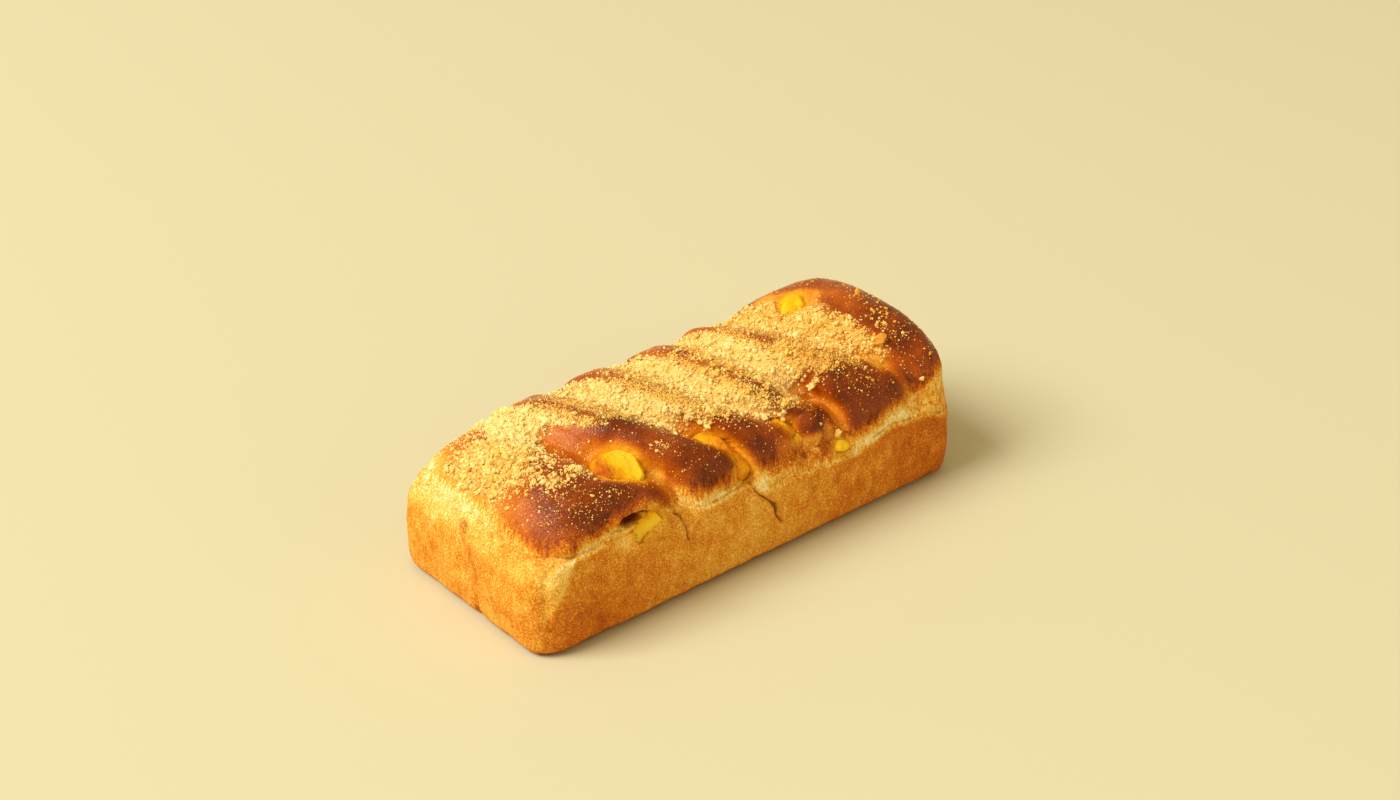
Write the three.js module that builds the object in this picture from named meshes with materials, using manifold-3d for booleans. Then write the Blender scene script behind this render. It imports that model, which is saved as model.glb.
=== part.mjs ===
// Chestnut bread: a tin-baked loaf whose slashed top has opened into slanting strands,
// with chestnut pieces in the gaps and streusel crumbs baked onto the crust.
// Millimetres, +Z up. The origin is the middle of the flat bottom and X runs along the loaf.
import * as THREE from 'three';
import { mergeVertices } from 'three/addons/utils/BufferGeometryUtils.js';
import Module from 'manifold-3d';

const { clamp, degToRad, lerp, mapLinear, seededRandom, smoothstep } = THREE.MathUtils;

// Lower half, shaped by the tin
const LENGTH = 221; // at the rim of the tin
const WIDTH = 94; // at the rim of the tin
const RIM_HEIGHT = 40.4;
const FOOT_RADIUS = 4.5; // bottom edges
const CORNER_AT_FOOT = 10.5; // upright corners, near the bottom
const CORNER_AT_RIM = 15; // upright corners, near the rim
const BELLY = { depth: 2.2, power: 0.8 }; // how far the walls bulge, and how evenly over their height
const SHOULDER = 9; // height of the pale band in which a wall turns in to the crust
// Seam of the rolled dough in the left end: it slants, and fades out between two heights at its foot
const END_FOLD = { depth: 1.8, width: 6, y: 6, slant: 0.52, foot: [3, 14] };

// Crown, the part that rose above the tin
const CRUST_INSET_LEFT = 7; // crust edge behind the left wall
const CRUST_OVERHANG_RIGHT = 1.8; // crust edge past the right wall, where the dome is full
const CRUST_INSET = 1.6; // crust edge behind the front and back walls
const INSET_RUN = { left: 60, right: 30 }; // lengths over which the end insets fade out
const ARCH_POWER = 2.4; // cross-section: 2 is round, higher is squarer
const LEFT_END = { run: 62, power: 1.85 }; // long slope at the low end
const RIGHT_END = { run: 24, power: 2.5 }; // full dome at the tall end
const STRAND_HEIGHTS = [26, 26.8, 27.6, 27, 28.8, 32.4]; // above the rim, left to right
const STRAND_BLEND = 8; // distance over which one height passes into the next

// Grooves between the strands, left to right. Front and back are places along X at the two rims,
// and bend says how soon a groove straightens on its way back. Depths are at the front, the middle
// and the back. The gentle side is the left one, and the steep side is the wall of the next strand.
// Softness is the rounding at the groove's bottom.
const GROOVES = [
  { front: -38, back: -72, bend: 2.6, depths: [15, 8, 1.5], gentle: 26, steep: 12, softness: 4 },
  { front: -4, back: -36, bend: 2.4, depths: [18, 8.5, 7], gentle: 22, steep: 10, softness: 1.2 },
  { front: 26, back: -4, bend: 4.2, depths: [12, 7, 7.5], gentle: 20, steep: 10, softness: 1.5 },
  { front: 48, back: 26, bend: 3.2, depths: [17, 8, 7], gentle: 17, steep: 10, softness: 1.2 },
  { front: 88, back: 52, bend: 1.8, depths: [9, 9.5, 10], gentle: 22, steep: 25, softness: 2.5 },
];
const RIM_SHARE = 0.18; // part of a groove's depth that is left at the rim
const RIM_NARROWING = 0.55; // part of a groove's width that is left at the rim
const RIM_REGION = 0.6; // share of the half width past which a groove narrows
const RELIEF_RISE = 1.6; // how soon above the rim a groove has its full depth
const GROOVE_TAIL = 9; // how far a groove runs on down the wall

// Hollows in the crown where a chestnut piece has pulled the dough in. The last two, a hollow and a
// bump, set off the round nose of the short fourth strand.
const HOLLOWS = [
  { x: -57, y: -28, radius: 12, depth: 5 },
  { x: 35, y: -44, radius: 8, depth: 5 },
  { x: 73.5, y: 15, radius: 10, depth: 5 },
  { x: 30, y: -30, radius: 7, depth: 2.5 },
  { x: 30, y: -38.5, radius: 6, depth: -2.2 },
];

// Cracks in the front wall, each a line of points along X and Z under a groove
const CRACK_DEPTH = 4;
const CRACKS = [
  { width: 1.6, line: [[-7, 43], [-3, 33], [3, 27.5], [6, 24], [7, 19], [10, 14]] },
  { width: 0.9, line: [[-43, 43], [-41, 38], [-40, 31], [-40, 22]] },
];

// Hole torn in the crust beside the chestnut piece that breaks through the front wall
const TEAR = { place: [-65, -46, 45], half: [6, 4.5, 2.4] };

// Chestnut pieces: place, half sizes and turn about X, Y and Z in degrees of the whole lump, and the
// knife cuts that shaped it. A cut has the way that it faces and its distance from the lump's middle.
const CHESTNUTS = [
  {
    place: [-55.5, -24.5, 52.5], half: [12, 11, 8], turn: [0, 0, 25],
    cuts: [
      { faces: [0.15, -0.33, 0.93], distance: 5 },
      { faces: [0.8, -0.4, 0.45], distance: 9 },
      { faces: [-0.8, 0.2, 0.55], distance: 8 },
      { faces: [-0.35, -0.9, 0.2], distance: 9 },
    ],
  },
  {
    place: [-58.5, -40, 39.5], half: [13, 12, 11], turn: [0, 0, 0],
    cuts: [
      { faces: [-0.03, -0.97, 0.22], distance: 6.3 },
      { faces: [0.28, 0, -0.96], distance: 2.7 },
      { faces: [-0.9, 0, -0.43], distance: 6.8 },
      { faces: [-0.31, 0, 0.95], distance: 5 },
      { faces: [0.8, 0, 0.6], distance: 6.6 },
      { faces: [0, 1, 0], distance: 5 },
    ],
  },
  {
    place: [-10.5, -34, 46.9], half: [6.2, 15, 5], turn: [36, 0, 26],
    cuts: [
      { faces: [-0.35, -0.35, 0.87], distance: 3.4 },
      { faces: [0.35, -0.9, -0.25], distance: 11.5 },
    ],
  },
  {
    place: [43.5, -45.2, 36.4], half: [4.8, 4, 2.7], turn: [0, 10, 15],
    cuts: [{ faces: [0.2, -0.7, 0.68], distance: 2.8 }],
  },
  {
    place: [73.3, 16.6, 64.8], half: [7.5, 6, 5], turn: [10, -20, 20],
    cuts: [{ faces: [-0.3, -0.4, 0.87], distance: 4 }],
  },
  {
    place: [19.8, -34.8, 47.9], half: [4.2, 6, 4.2], turn: [20, 10, 30],
    cuts: [{ faces: [-0.3, -0.4, 0.87], distance: 3.4 }],
  },
];
const CHESTNUT_GAP = 0.35; // air between a piece and its pocket in the dough
const CHESTNUT_LUMP = 0.05; // unevenness, as a share of the half size

// Streusel crumbs, fused to the crust
const CRUMB_COUNT = 100;
const CRUMB_RADIUS = { large: 2.6, small: 1.4 };
const LARGEST_CRUMB = { place: [83.7, -26.3, 64.2], radius: 3.4 };
const CRUMB_LIFT = 0.1; // height of a crumb's middle above the crust, as a share of its radius
const CRUMB_CORNERS = [0.75, 1.1]; // shortest and longest reach of a corner, as a share of the radius
const CRUMB_SPACING = 1.25; // least distance of two crumbs, as a share of their radii
const CRUMB_CLEARANCE = 1.2; // to a chestnut piece
const CRUMB_REACH = { along: 0.95, across: 0.8 }; // share of the crown that crumbs may lie on
const CRUMB_SEED = 7;
// Where the crumbs lie thickest: place, half sizes and weight
const CRUMB_DRIFTS = [
  { x: -88, y: 2, halfX: 20, halfY: 32, weight: 1 },
  { x: -50, y: 16, halfX: 22, halfY: 20, weight: 0.9 },
  { x: -10, y: 6, halfX: 22, halfY: 30, weight: 0.9 },
  { x: 22, y: -6, halfX: 24, halfY: 30, weight: 1 },
  { x: 48, y: 6, halfX: 20, halfY: 26, weight: 0.9 },
  { x: 74, y: -6, halfX: 16, halfY: 24, weight: 0.8 },
];

// Mesh density
const STEPS_LENGTH = 58;
const STEPS_WIDTH = 22;
const STEPS_HEIGHT = 7;

const END_SPACING = degToRad(74); // closer columns near both ends
const MERGE_TOLERANCE = 1e-4;

const halfLength = LENGTH / 2;
const halfWidth = WIDTH / 2;

const wasm = await Module();
wasm.setup();

// Conversion between three.js geometry and closed solids
function toSolid(geometry) {
  const bare = geometry.clone();
  bare.deleteAttribute('normal');
  bare.deleteAttribute('uv');
  const merged = mergeVertices(bare, MERGE_TOLERANCE);
  return new wasm.Manifold(new wasm.Mesh({
    numProp: 3,
    vertProperties: new Float32Array(merged.attributes.position.array),
    triVerts: new Uint32Array(merged.index.array),
  }));
}

function toGeometry(solid) {
  const mesh = solid.getMesh();
  const geometry = new THREE.BufferGeometry();
  geometry.setAttribute('position', new THREE.BufferAttribute(mesh.vertProperties, 3));
  geometry.setIndex(new THREE.BufferAttribute(mesh.triVerts, 1));
  geometry.computeVertexNormals();
  return geometry;
}

function largestBody(solid) {
  return solid.decompose().reduce((best, body) => (body.volume() > best.volume() ? body : best));
}

function shapeVertices(geometry, move) {
  const positions = geometry.attributes.position;
  const point = new THREE.Vector3();
  for (let i = 0; i < positions.count; i += 1) {
    point.fromBufferAttribute(positions, i);
    positions.setXYZ(i, ...move(point).toArray());
  }
  return geometry;
}

// Grooves, hollows and heights of the crown, over the loaf's plan
function grooveX(groove, y) {
  const towardsFront = clamp((halfWidth - y) / WIDTH, 0, 1);
  return groove.back + (groove.front - groove.back) * towardsFront ** groove.bend;
}

function grooveDepth(groove, y) {
  const [front, middle, back] = groove.depths;
  const across = clamp(y / halfWidth, -1, 1);
  return across < 0 ? lerp(middle, front, -across) : lerp(middle, back, across);
}

function inwardRelief(x, y) {
  const narrowing = lerp(1, RIM_NARROWING, smoothstep(Math.abs(y), RIM_REGION * halfWidth, halfWidth));
  let relief = 0;
  for (const groove of GROOVES) {
    const offset = (x - grooveX(groove, y)) / narrowing;
    const away = Math.hypot(offset, groove.softness) - groove.softness;
    const side = Math.max(0, 1 - away / (offset < 0 ? groove.gentle : groove.steep));
    relief = Math.max(relief, grooveDepth(groove, y) * side ** 2);
  }
  for (const hollow of HOLLOWS) {
    const distance = Math.hypot(x - hollow.x, y - hollow.y) / hollow.radius;
    relief += hollow.depth * Math.exp(-(distance ** 2));
  }
  return relief;
}

function strandHeight(x, y) {
  return GROOVES.reduce((height, groove, i) => {
    const share = smoothstep(x - grooveX(groove, y), -STRAND_BLEND, STRAND_BLEND);
    return lerp(height, STRAND_HEIGHTS[i + 1], share);
  }, STRAND_HEIGHTS[0]);
}

function endFall(x) {
  const fall = (inside, end) => {
    const q = clamp(1 - inside / end.run, 0, 1);
    return (1 - q ** end.power) ** (1 / end.power);
  };
  return fall(x + halfLength, LEFT_END) * fall(halfLength - x, RIGHT_END);
}

// Columns of the grid follow the grooves: the column at a groove's station runs along its bottom
function gridStep(i, steps) {
  return -1 + 2 * i / steps;
}

function evenColumn(s) {
  return halfLength * Math.sin(s * END_SPACING) / Math.sin(END_SPACING);
}

function nearestColumn(x) {
  const columns = Array.from({ length: STEPS_LENGTH }, (_, i) => evenColumn(gridStep(i, STEPS_LENGTH)));
  return columns.reduce((best, column) => (Math.abs(column - x) < Math.abs(best - x) ? column : best));
}

const stations = [
  -halfLength,
  ...GROOVES.map(({ front, back }) => nearestColumn((front + back) / 2)),
  halfLength,
];

function columnX(s, y) {
  const even = clamp(evenColumn(s), -halfLength, halfLength);
  const bottoms = [-halfLength, ...GROOVES.map((groove) => grooveX(groove, y)), halfLength];
  const next = Math.max(1, stations.findIndex((station) => even <= station));
  return mapLinear(even, stations[next - 1], stations[next], bottoms[next - 1], bottoms[next]);
}

// Plan of the loaf: a grid square from -1 to 1 becomes a rectangle with round corners
function plan(s, t, cornerRadius) {
  const y = halfWidth * Math.sign(t) * Math.abs(Math.sin(t * Math.PI / 2)) ** (2 / ARCH_POWER);
  const x = columnX(s, y);
  const u = clamp((Math.abs(x) - halfLength + cornerRadius) / cornerRadius, 0, 1);
  const v = clamp((Math.abs(y) - halfWidth + cornerRadius) / cornerRadius, 0, 1);
  const cornerX = cornerRadius * u * Math.sqrt(1 - v * v / 2);
  const cornerY = cornerRadius * v * Math.sqrt(1 - u * u / 2);
  const roundX = Math.min(Math.abs(x), halfLength - cornerRadius) + cornerX;
  const roundY = Math.min(Math.abs(y), halfWidth - cornerRadius) + cornerY;
  const outward = new THREE.Vector2(u * Math.sign(x), v * Math.sign(y)).normalize();
  return { x: Math.sign(x) * roundX, y: Math.sign(y) * roundY, straightX: x, straightY: y, outward };
}

// Draws the crust edge in from the walls by a share of its inset
function insetX(x, share) {
  const left = CRUST_INSET_LEFT * smoothstep(-x, halfLength - INSET_RUN.left, halfLength);
  const right = CRUST_OVERHANG_RIGHT * smoothstep(x, halfLength - INSET_RUN.right, halfLength);
  return x + share * (left + right);
}

function insetY(y, share) {
  return y * (1 - share * CRUST_INSET / halfWidth);
}

function crownPoint(s, t) {
  const base = plan(s, t, CORNER_AT_RIM);
  const angle = t * Math.PI / 2;
  const arch = Math.abs(Math.cos(angle)) ** (2 / ARCH_POWER) * endFall(base.straightX);
  const fullness = Math.min(1, RELIEF_RISE * arch);
  const relief = inwardRelief(base.straightX, base.straightY) * lerp(RIM_SHARE, 1, fullness);
  const rise = strandHeight(base.straightX, base.straightY) * arch;
  return new THREE.Vector3(
    insetX(base.x, 1),
    insetY(base.y, 1) - relief * Math.sin(angle),
    RIM_HEIGHT + rise - relief * Math.cos(angle) * fullness,
  );
}

function wallPoint(s, t, level) {
  const base = plan(s, t, lerp(CORNER_AT_FOOT, CORNER_AT_RIM, level));
  const z = level * RIM_HEIGHT;
  const footGap = Math.max(0, FOOT_RADIUS - z);
  const foot = FOOT_RADIUS - Math.sqrt(FOOT_RADIUS ** 2 - footGap ** 2);
  const turnIn = 1 - Math.sqrt(1 - clamp(1 - (RIM_HEIGHT - z) / SHOULDER, 0, 1) ** 2);
  const out = BELLY.depth * Math.sin(Math.PI * level) ** BELLY.power - foot;
  const besideFold = base.y - END_FOLD.y + END_FOLD.slant * (RIM_HEIGHT - z);
  const foldShape = Math.exp(-((besideFold / END_FOLD.width) ** 2)) * smoothstep(z, ...END_FOLD.foot);
  const fold = END_FOLD.depth * foldShape * Math.max(0, -base.outward.x);
  const tail = smoothstep(z, RIM_HEIGHT - GROOVE_TAIL, RIM_HEIGHT);
  const relief = RIM_SHARE * tail * inwardRelief(base.straightX, base.straightY);
  const x = base.x + base.outward.x * out + fold;
  const y = base.y + base.outward.y * (out - relief);
  return new THREE.Vector3(insetX(x, turnIn), insetY(y, turnIn), z);
}

// The gridded underside of the block gives way to one flat face inside the ring of the foot
function flatFoot() {
  const ring = [];
  const along = (steps, corner) => {
    for (let i = 0; i < steps; i += 1) ring.push(wallPoint(...corner(gridStep(i, steps)), 0));
  };
  along(STEPS_LENGTH, (q) => [q, -1]);
  along(STEPS_WIDTH, (q) => [1, q]);
  along(STEPS_LENGTH, (q) => [-q, 1]);
  along(STEPS_WIDTH, (q) => [-1, -q]);
  const faces = THREE.ShapeUtils.triangulateShape(ring.map(({ x, y }) => new THREE.Vector2(x, y)), []);
  return { ring, faces: faces.map(([a, b, c]) => [a, c, b]) };
}

function plainLoaf() {
  const block = new THREE.BoxGeometry(2, 2, 2, STEPS_LENGTH, STEPS_WIDTH, STEPS_HEIGHT);
  const underside = block.groups[5];
  shapeVertices(block, ({ x: s, y: t, z: w }) => (
    w === 1 ? crownPoint(s, t) : wallPoint(s, t, (1 - Math.cos((w + 1) * Math.PI / 2)) / 2)));
  const { ring, faces } = flatFoot();
  const blockPositions = block.attributes.position;
  const loaf = new THREE.BufferGeometry();
  const positions = [...blockPositions.array, ...ring.flatMap((point) => point.toArray())];
  const skin = block.index.array.slice(0, underside.start);
  loaf.setAttribute('position', new THREE.Float32BufferAttribute(positions, 3));
  loaf.setIndex([...skin, ...faces.flat().map((corner) => corner + blockPositions.count)]);
  return loaf;
}

// A crack is a thin jagged wedge along its line, cut into the front wall
function crackCutter({ width, line }) {
  const outline = new THREE.Shape();
  const last = line.length - 1;
  const halfAt = (i) => width / 2 * (1 - i / last);
  line.forEach(([x, z], i) => (i ? outline.lineTo(x - halfAt(i), z) : outline.moveTo(x - halfAt(i), z)));
  line.slice(0, last).reverse().forEach(([x, z], i) => outline.lineTo(x + halfAt(last - 1 - i), z));
  const wedge = new THREE.ExtrudeGeometry(outline, { depth: 2 * CRACK_DEPTH, bevelEnabled: false });
  wedge.rotateX(Math.PI / 2);
  wedge.translate(0, CRACK_DEPTH - halfWidth, 0);
  return toSolid(wedge);
}

function tearCutter({ place, half }) {
  return toSolid(new THREE.IcosahedronGeometry(1, 1).scale(...half).translate(...place));
}

// A chestnut piece: a lumpy ball with a few faces cut flat by the knife, made larger all round by a gap
function chestnutSolid({ place, half, turn, cuts }, index, gap) {
  const ball = new THREE.IcosahedronGeometry(1, 2);
  const smallestHalf = Math.min(...half);
  shapeVertices(ball, (point) => {
    const lump = CHESTNUT_LUMP * Math.sin(5 * point.x + 2 * index) * Math.cos(4 * point.y - index);
    return point.clone().multiplyScalar(1 + lump + gap / smallestHalf);
  });
  ball.scale(...half);
  const [rx, ry, rz] = turn.map(degToRad);
  ball.applyMatrix4(new THREE.Matrix4().makeRotationFromEuler(new THREE.Euler(rx, ry, rz)));
  ball.translate(...place);
  return cuts.reduce((solid, { faces, distance }) => {
    const inward = new THREE.Vector3(...faces).normalize().negate();
    const offset = inward.dot(new THREE.Vector3(...place)) - distance - gap;
    return solid.trimByPlane(inward.toArray(), offset);
  }, toSolid(ball));
}

// Streusel
function crumbWeight(x, y) {
  return Math.max(...CRUMB_DRIFTS.map(({ x: cx, y: cy, halfX, halfY, weight }) => (
    weight * Math.exp(-(((x - cx) / halfX) ** 2) - ((y - cy) / halfY) ** 2))));
}

function clearOfChestnuts(point, radius) {
  return CHESTNUTS.every(({ place, half }) => (
    point.distanceTo(new THREE.Vector3(...place)) > Math.max(...half) + radius + CRUMB_CLEARANCE));
}

function crumbGeometry(point, radius) {
  const ball = new THREE.IcosahedronGeometry(1, 0);
  ball.deleteAttribute('normal');
  ball.deleteAttribute('uv');
  const crumb = mergeVertices(ball);
  shapeVertices(crumb, (corner) => (
    corner.clone().multiplyScalar(radius * lerp(...CRUMB_CORNERS, seededRandom()))));
  crumb.rotateX(seededRandom() * Math.PI);
  crumb.rotateZ(seededRandom() * Math.PI);
  return crumb.translate(point.x, point.y, point.z + CRUMB_LIFT * radius);
}

function crumbs() {
  const placed = [{ point: new THREE.Vector3(...LARGEST_CRUMB.place), radius: LARGEST_CRUMB.radius }];
  seededRandom(CRUMB_SEED);
  while (placed.length < CRUMB_COUNT) {
    const radius = lerp(CRUMB_RADIUS.large, CRUMB_RADIUS.small, Math.sqrt(placed.length / CRUMB_COUNT));
    const along = CRUMB_REACH.along * lerp(-1, 1, seededRandom());
    const across = CRUMB_REACH.across * lerp(-1, 1, seededRandom());
    const point = crownPoint(along, across);
    const wanted = crumbWeight(point.x, point.y) > seededRandom();
    const apart = placed.every((other) => (
      other.point.distanceTo(point) > CRUMB_SPACING * (other.radius + radius)));
    if (wanted && apart && clearOfChestnuts(point, radius)) placed.push({ point, radius });
  }
  return placed.map(({ point, radius }) => toSolid(crumbGeometry(point, radius)));
}

function loafGeometry() {
  let loaf = toSolid(plainLoaf());
  for (const crack of CRACKS) loaf = loaf.subtract(crackCutter(crack));
  loaf = loaf.subtract(tearCutter(TEAR));
  for (const crumb of crumbs()) loaf = loaf.add(crumb);
  CHESTNUTS.forEach((chestnut, i) => {
    loaf = loaf.subtract(chestnutSolid(chestnut, i, CHESTNUT_GAP));
  });
  return toGeometry(largestBody(loaf));
}

const crust = new THREE.MeshStandardMaterial({ color: 0xb06a2c, roughness: 0.5, metalness: 0 });
const chestnutFlesh = new THREE.MeshStandardMaterial({ color: 0xf2b51c, roughness: 0.45, metalness: 0 });

const chestnutBread = new THREE.Group();

const loafMesh = new THREE.Mesh(loafGeometry(), crust);
loafMesh.name = 'loaf';
chestnutBread.add(loafMesh);

CHESTNUTS.forEach((chestnut, i) => {
  const mesh = new THREE.Mesh(toGeometry(chestnutSolid(chestnut, i, 0)), chestnutFlesh);
  mesh.name = `chestnut_${i + 1}`;
  chestnutBread.add(mesh);
});

export default chestnutBread;
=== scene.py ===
"""Chestnut bread: a tin-baked loaf with slanting strands, chestnut pieces and butter streusel."""

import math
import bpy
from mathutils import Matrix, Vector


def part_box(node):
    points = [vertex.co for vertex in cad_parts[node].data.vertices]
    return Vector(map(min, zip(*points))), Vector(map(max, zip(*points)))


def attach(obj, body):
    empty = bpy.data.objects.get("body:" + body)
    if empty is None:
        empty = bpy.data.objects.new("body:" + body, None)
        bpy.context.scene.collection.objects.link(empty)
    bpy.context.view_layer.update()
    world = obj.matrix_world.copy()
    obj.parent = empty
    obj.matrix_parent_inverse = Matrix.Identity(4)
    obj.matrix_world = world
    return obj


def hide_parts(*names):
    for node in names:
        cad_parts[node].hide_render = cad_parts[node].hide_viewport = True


bl_info = {
    "name": "Chestnut bread",
    "version": (1, 0, 0),
    "blender": (4, 5, 0),
    "location": "3D View > Sidebar > Bread",
    "description": "Dresses the CAD loaf with a baked crust, chestnut pieces and butter streusel",
    "category": "Add Mesh",
}

from typing import NamedTuple

import bpy
import numpy as np
from bpy.props import FloatProperty, FloatVectorProperty, IntProperty, PointerProperty
from mathutils import Vector, noise
from mathutils.bvhtree import BVHTree

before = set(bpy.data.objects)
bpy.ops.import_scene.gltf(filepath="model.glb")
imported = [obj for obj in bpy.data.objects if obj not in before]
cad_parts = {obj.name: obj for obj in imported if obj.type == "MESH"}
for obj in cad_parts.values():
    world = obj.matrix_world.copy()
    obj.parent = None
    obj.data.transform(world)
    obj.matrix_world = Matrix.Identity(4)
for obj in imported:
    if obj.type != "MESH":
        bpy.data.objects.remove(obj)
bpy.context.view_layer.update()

# Shapes are worked out in millimetres, and meshes are written in metres
MM = 0.001

NEARLY_ZERO = 1e-9
NEARLY_TOP = 1 - 1e-6  # height in the block from which a point is on its top
FACING = 0.5  # share of a way out from which a face or a wall counts as facing that side


class Waves(NamedTuple):
    """Soft unevenness: how high its waves are, and how wide in millimetres."""

    height: float
    width: float

    def at(self, points):
        return self.height * clouds(points, self.width)


# Axes of the loaf's block and the parts into which they are cut, one cut after another
BLOCK_CUTS = ((0, 72), (0, 4), (1, 70), (1, 2), (2, 64))

# Lower half, shaped by the tin
BELLY = 2.2  # how far the walls bulge
BELLY_POWER = 0.8  # how evenly they bulge over their height
FOOT_RADIUS = 4.5
CORNER_AT_FOOT = 10.5
CORNER_AT_RIM = 15
SHOULDER = 9  # height of the band in which a wall turns in to the crust
END_FOLD = {"depth": 1.8, "width": 6, "y": 6, "slant": 0.52, "foot": (3, 14)}

# Crown, the part that rose above the tin
CRUST_INSET_LEFT = 7
CRUST_OVERHANG_RIGHT = 1.8
CRUST_INSET = 1.6
INSET_RUN_LEFT = 60
INSET_RUN_RIGHT = 30
ARCH_POWER = 2.4  # cross-section: 2 is round, higher is squarer
LEFT_END = {"run": 62, "power": 1.85}
RIGHT_END = {"run": 24, "power": 2.5}
STRAND_HEIGHTS = (26, 26.8, 27.6, 27, 28.8, 32.4)
STRAND_BLEND = 8
END_SPACING = math.radians(74)


class Groove(NamedTuple):
    """A slash between two strands: its places at both rims, its bend, its depths, sides and rounding."""

    front: float
    back: float
    bend: float
    depths: tuple
    gentle: float
    steep: float
    softness: float


GROOVES = (
    Groove(front=-38, back=-72, bend=2.6, depths=(15, 8, 1.5), gentle=26, steep=12, softness=4),
    Groove(front=-4, back=-36, bend=2.4, depths=(18, 8.5, 7), gentle=22, steep=10, softness=1.2),
    Groove(front=26, back=-4, bend=4.2, depths=(12, 7, 7.5), gentle=20, steep=10, softness=1.5),
    Groove(front=48, back=26, bend=3.2, depths=(17, 8, 7), gentle=17, steep=10, softness=1.2),
    Groove(front=88, back=52, bend=1.8, depths=(9, 9.5, 10), gentle=22, steep=25, softness=2.5),
)
RIM_SHARE = 0.18  # part of a groove's depth that is left at the rim
RIM_NARROWING = 0.55  # part of a groove's width that is left at the rim
RIM_REGION = 0.6  # part of the half width from which a groove changes towards the rim
RELIEF_RISE = 1.6  # how soon above the rim a groove has its full depth
GROOVE_TAIL = 9  # how far a groove runs down into the wall
VALLEY_STEEP = (0.12, 0.35)  # how far down a steep side the valley starts, and where it is full
VALLEY_GENTLE = (0.2, 0.5)
RIDGE_ENDS = (0, 0.06)  # how far down a side the ridge ends


class Hollow(NamedTuple):
    """A dent where a chestnut piece has pulled the crown in, or a bump if its depth is below 0."""

    x: float
    y: float
    radius: float
    depth: float


HOLLOWS = (
    Hollow(-57, -28, 12, 5),
    Hollow(35, -44, 8, 5),
    Hollow(73.5, 15, 10, 5),
    Hollow(30, -30, 7, 2.5),
    Hollow(30, -38.5, 6, -2.2),
)
GOLDEN_HOLLOW = 9  # dents wider than this kept their dough golden

# Heights along the loaf of the crust's lower edge and of the seam under it
CRUST_EDGE = (
    (-112, 42), (-100, 43.5), (-82, 46.4), (-57, 49.8), (-49, 46), (-43, 42.6), (-37, 43.6), (-31, 46),
    (-12, 44.6), (20, 42), (38, 38), (54, 39.6), (83, 45.6), (92, 47), (98, 51), (112, 53),
)
LEFT_EDGE_RISE = 4  # how much higher the crust ends at the back of the left end
SEAM = (
    (-112, 40.5), (-81, 41.3), (-71, 43.5), (-37, 40.6), (-28, 37.7), (-8, 39.5),
    (1, 33.2), (38, 32.7), (49, 31.6), (72, 37), (92, 34), (112, 30),
)
SEAM_OPEN = ((-106, -68), (-37, -8), (60, 82), (92, 110))  # stretches in which the seam gapes
SEAM_FADE = 3  # how soon it closes past their ends
SEAM_DEPTH = 0.5
SEAM_WIDTH = 0.6
SEAM_WOBBLE = Waves(0.9, 7)
SEAM_LEDGE = {"height": 0.5, "full": 1, "gone": 6}  # swelling of the wall under the seam

# Splits in the front wall: places along X and Z with the split's half width there
CRACKS = (
    ((-7, 43, 0.2), (-3, 33, 0.18), (3, 27.5, 0.25), (6, 24, 1.2), (7, 19, 0.5), (10, 14, 0.12)),
    (
        (-44.5, 40.2, 0.05), (-42, 38.6, 0.2), (-40.4, 36.6, 0.26),
        (-39.6, 34, 0.24), (-39.3, 28, 0.2), (-39, 21, 0.05),
    ),
    (
        (-70.2, 45.1, 0.3), (-68.4, 46.6, 0.6), (-63.7, 46.9, 0.5),
        (-58.9, 46.5, 0.35), (-54.8, 44.8, 0.22), (-50, 39.8, 0.05),
    ),
)
CRACK_DEPTH = 2.2
CRACK_SOFTNESS = 0.4
CRACK_FULL = 0.15  # half width from which a split has its full depth
CRACK_WOBBLE = Waves(0.3, 4)

# Lip of dough over the chestnut piece that breaks through the front wall: its ends along X and Z,
# and how far forward it starts and is full
LIP = {"start": (-71, 47.5), "end": (-56, 48.6), "width": 1.6, "height": 1.2, "front": (38, 41)}

# Crease down the left end from the pit near its top, and one down the near corner, along Y and Z
END_CREASE = ((5, 37.5), (3.7, 34.6), (-1, 28.4), (-4.8, 24.4), (-6.5, 17.7), (-7.5, 13.2), (-6, 4))
CORNER_CREASE = ((-44, 38), (-44.6, 31), (-45.4, 27.4), (-46.3, 20.6), (-46.5, 13))
END_CREASE_FACING = 0.6
CORNER_CREASE_FACING = 0.1
CORNER_CREASE_UNTIL = -100  # place along X up to which the near corner counts
CREASE_DEPTH = 0.6
CREASE_WIDTH = 1
CREASE_WOBBLE = Waves(0.5, 6)
FAR = 4  # a field's value well away from its line
TEAR = {"place": (-65, -46, 45), "half": (5.4, 4.2, 2)}
# The torn hole's darkness is painted shade, full from this depth
TEAR_DARK = 3  # depth at which the torn hole looks dark
PIT_SHADE = 0.55
KNOB = {"place": (29.5, -42.5, 48), "radius": 8, "height": 2.4}
KNOB_FURROW = {"depth": 0.9, "at": 1.06, "width": 0.1}  # furrow around the knob, in shares of its radius

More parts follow.
